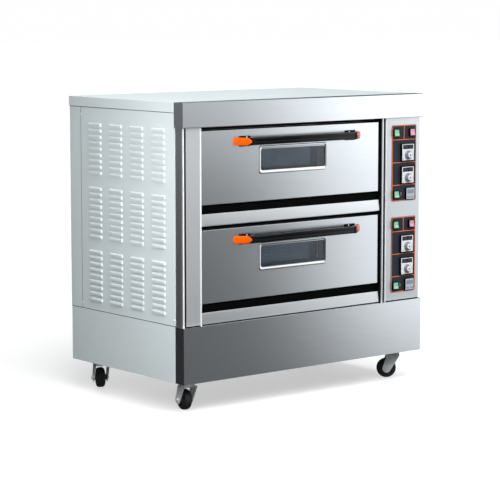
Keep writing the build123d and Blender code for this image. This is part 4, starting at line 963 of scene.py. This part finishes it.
def make_world():
    """Even fill light, a darker room for the steel to mirror, and a pale backdrop for the eye."""
    world = bpy.data.worlds.new("studio")
    world.use_nodes = True
    tree = world.node_tree
    path = tree.nodes.new("ShaderNodeLightPath")
    shade = tree.nodes["Background"]
    shade.inputs["Color"].default_value = (*FILL_TONE, 1)
    mixed = shade.outputs["Background"]
    for tone, ray in ((MIRRORED_TONE, "Is Glossy Ray"), (BACKDROP_TONE, "Is Camera Ray")):
        layer = tree.nodes.new("ShaderNodeBackground")
        layer.inputs["Color"].default_value = (*tone, 1)
        chooser = tree.nodes.new("ShaderNodeMixShader")
        tree.links.new(path.outputs[ray], chooser.inputs["Fac"])
        tree.links.new(mixed, chooser.inputs[1])
        tree.links.new(layer.outputs["Background"], chooser.inputs[2])
        mixed = chooser.outputs["Shader"]
    tree.links.new(mixed, tree.nodes["World Output"].inputs["Surface"])
    bpy.context.scene.world = world


def stage_plane(name, size, place, normal):
    """A staged plane that faces along a normal."""
    bpy.ops.mesh.primitive_plane_add(size=1)
    plane = bpy.context.object
    plane.name = name
    plane.scale = (*size, 1)
    plane.location = place
    plane.rotation_euler = Vector(normal).to_track_quat("Z", "Y").to_euler()
    return plane


FRONT_CARD = {"place": (1.75, -1.55, 0.55), "normal": (-0.656, 0.755, 0), "size": (4.2, 3.2)}
LEFT_CARD = {"place": (-1.75, 0.75, 0.45), "normal": (0.63, -0.77, 0), "size": (3.0, 3.0)}
CARD_DARK = 0.15
CARD_RISE = 0.54
CARD_RISE_POWER = 5.0
CARD_SWEEP = 1.3
CARD_SLANT = 0.13
CARD_RISE_SPAN = (-0.1, 0.95)
CARD_SWEEP_SPAN = (1.14, 1.76)
CARD_FADE_SPAN = (-0.7, 0.114)
LEFT_CARD_DARK = 0.035
LEFT_CARD_RISE = 0.2
LEFT_CARD_POWER = 3.0
EVEN_CARD_BASE = 0.3
EVEN_CARD_RISE = 0.35
CARD_TINT = (0.94, 0.98, 1.0)
FLOOR_GLOW = 0.52
CORNER_CARD = {"place": (-1.6, -2.3, 0.7), "normal": (0.55, 0.83, 0), "size": (2.2, 1.8)}
TOP_CARD = {"place": (0, 0, 2.6), "normal": (0, 0, -1), "size": (2.4, 2.4)}


def ramp(tree, value, low, high, gain, smooth="SMOOTHSTEP"):
    """A value that grows from 0 to the gain between two limits."""
    node = tree.nodes.new("ShaderNodeMapRange")
    node.interpolation_type = smooth
    node.inputs["From Min"].default_value = low
    node.inputs["From Max"].default_value = high
    node.inputs["To Max"].default_value = gain
    tree.links.new(value, node.inputs["Value"])
    return node.outputs["Result"]


def maths(tree, operation, first, second):
    """One arithmetic step between a value and another value or a constant."""
    node = tree.nodes.new("ShaderNodeMath")
    node.operation = operation
    tree.links.new(first, node.inputs[0])
    if isinstance(second, float):
        node.inputs[1].default_value = second
    else:
        tree.links.new(second, node.inputs[1])
    return node.outputs["Value"]


def reflection_card(name, layout, glow_of):
    """A graded card that only the oven's polished surfaces see."""
    card = stage_plane(name, layout["size"], layout["place"], layout["normal"])
    for ray in ("camera", "diffuse", "shadow", "transmission"):
        setattr(card, f"visible_{ray}", False)
    material = bpy.data.materials.new(name)
    material.use_nodes = True
    tree = material.node_tree
    tree.nodes.clear()
    where = tree.nodes.new("ShaderNodeNewGeometry")
    split = tree.nodes.new("ShaderNodeSeparateXYZ")
    tree.links.new(where.outputs["Position"], split.inputs["Vector"])
    glow = tree.nodes.new("ShaderNodeEmission")
    glow.inputs["Color"].default_value = (*CARD_TINT, 1)
    tree.links.new(glow_of(tree, split.outputs["X"], split.outputs["Z"]), glow.inputs["Strength"])
    output = tree.nodes.new("ShaderNodeOutputMaterial")
    tree.links.new(glow.outputs["Emission"], output.inputs["Surface"])
    card.data.materials.append(material)


def front_glow(tree, x, z):
    """Dark at the lower left, bright at the upper right, with a slanting soft edge between."""
    height = maths(tree, "POWER", ramp(tree, z, *CARD_RISE_SPAN, 1.0, "LINEAR"), CARD_RISE_POWER)
    rise = maths(tree, "MULTIPLY", height, CARD_RISE)
    slanted = maths(tree, "ADD", x, maths(tree, "MULTIPLY", z, CARD_SLANT))
    sweep = ramp(tree, slanted, *CARD_SWEEP_SPAN, CARD_SWEEP)
    faded = maths(tree, "MULTIPLY", sweep, ramp(tree, z, *CARD_FADE_SPAN, 1.0, "LINEAR"))
    return maths(tree, "ADD", maths(tree, "ADD", rise, faded), CARD_DARK)


def left_glow(tree, x, z):
    """Dark below and a little paler above, for the side that the front's edges mirror."""
    height = maths(tree, "POWER", ramp(tree, z, 0.0, 1.0, 1.0, "LINEAR"), LEFT_CARD_POWER)
    return maths(tree, "ADD", maths(tree, "MULTIPLY", height, LEFT_CARD_RISE), LEFT_CARD_DARK)


def even_glow(tree, x, z):
    """Brighter above than below, up to a level tone."""
    rise = maths(tree, "MULTIPLY", z, EVEN_CARD_RISE)
    return maths(tree, "MINIMUM", maths(tree, "ADD", rise, EVEN_CARD_BASE), 1.0)


# Suns: direction, strength, and angle across in degrees.
SKY_FRONT = ((0.0, 0.58, -0.81), 3.5, 50)
SKY_BACK = ((-0.5, -0.84, -0.22), 1.6, 30)
# Soft lights: place, target, width and height, and power in watts.
SOFTBOX_LEFT = ((-1.7, -1.05, 1.25), (-0.6, -0.1, 0.7), (1.0, 1.0), 25)
KICKER_LOW = ((-1.75, -1.75, 0.14), (-0.5, -0.25, 0.06), (0.9, 0.24), 8)


def make_room():
    """Plain pale floor, soft lights and the cards that the steel mirrors."""
    bpy.context.scene.view_settings.view_transform = "Standard"
    make_world()
    floor = stage_plane("floor", (2 * FLOOR_HALF, 2 * FLOOR_HALF), (0, 0, 0), (0, 0, 1))
    paint = surface(
        "floor_paint", (0.495,) * 3, (0.505,) * 3, (0.7, 0.8), (40,) * 3, 1e-6, Emission_Strength=FLOOR_GLOW
    )
    paint.node_tree.nodes["Principled BSDF"].inputs["Emission Color"].default_value = (1, 1, 1, 1)
    floor.data.materials.append(paint)
    floor.visible_glossy = False
    floor.visible_diffuse = False
    sky_light("sky_front", *SKY_FRONT)
    sky_light("sky_back", *SKY_BACK).visible_glossy = False
    area_light("softbox_left", *SOFTBOX_LEFT)
    area_light("kicker_low", *KICKER_LOW)
    reflection_card("front_card", FRONT_CARD, front_glow)
    reflection_card("left_card", LEFT_CARD, left_glow)
    reflection_card("top_card", TOP_CARD, even_glow)
    reflection_card("corner_card", CORNER_CARD, even_glow)


make_camera()
paint_nodes()
front_trims()
side_seams()
for deck_name in DECKS:
    window_rim(deck_name)
    handles(deck_name)
    plate_rules(deck_name)
    for half in ("top", "bottom"):
        controller(deck_name, half)
    timer(deck_name)
    for switch in ("heat", "lamp", "steam"):
        rocker_marks(deck_name, switch)
for caster_place in CASTERS:
    caster(caster_place)
make_room()
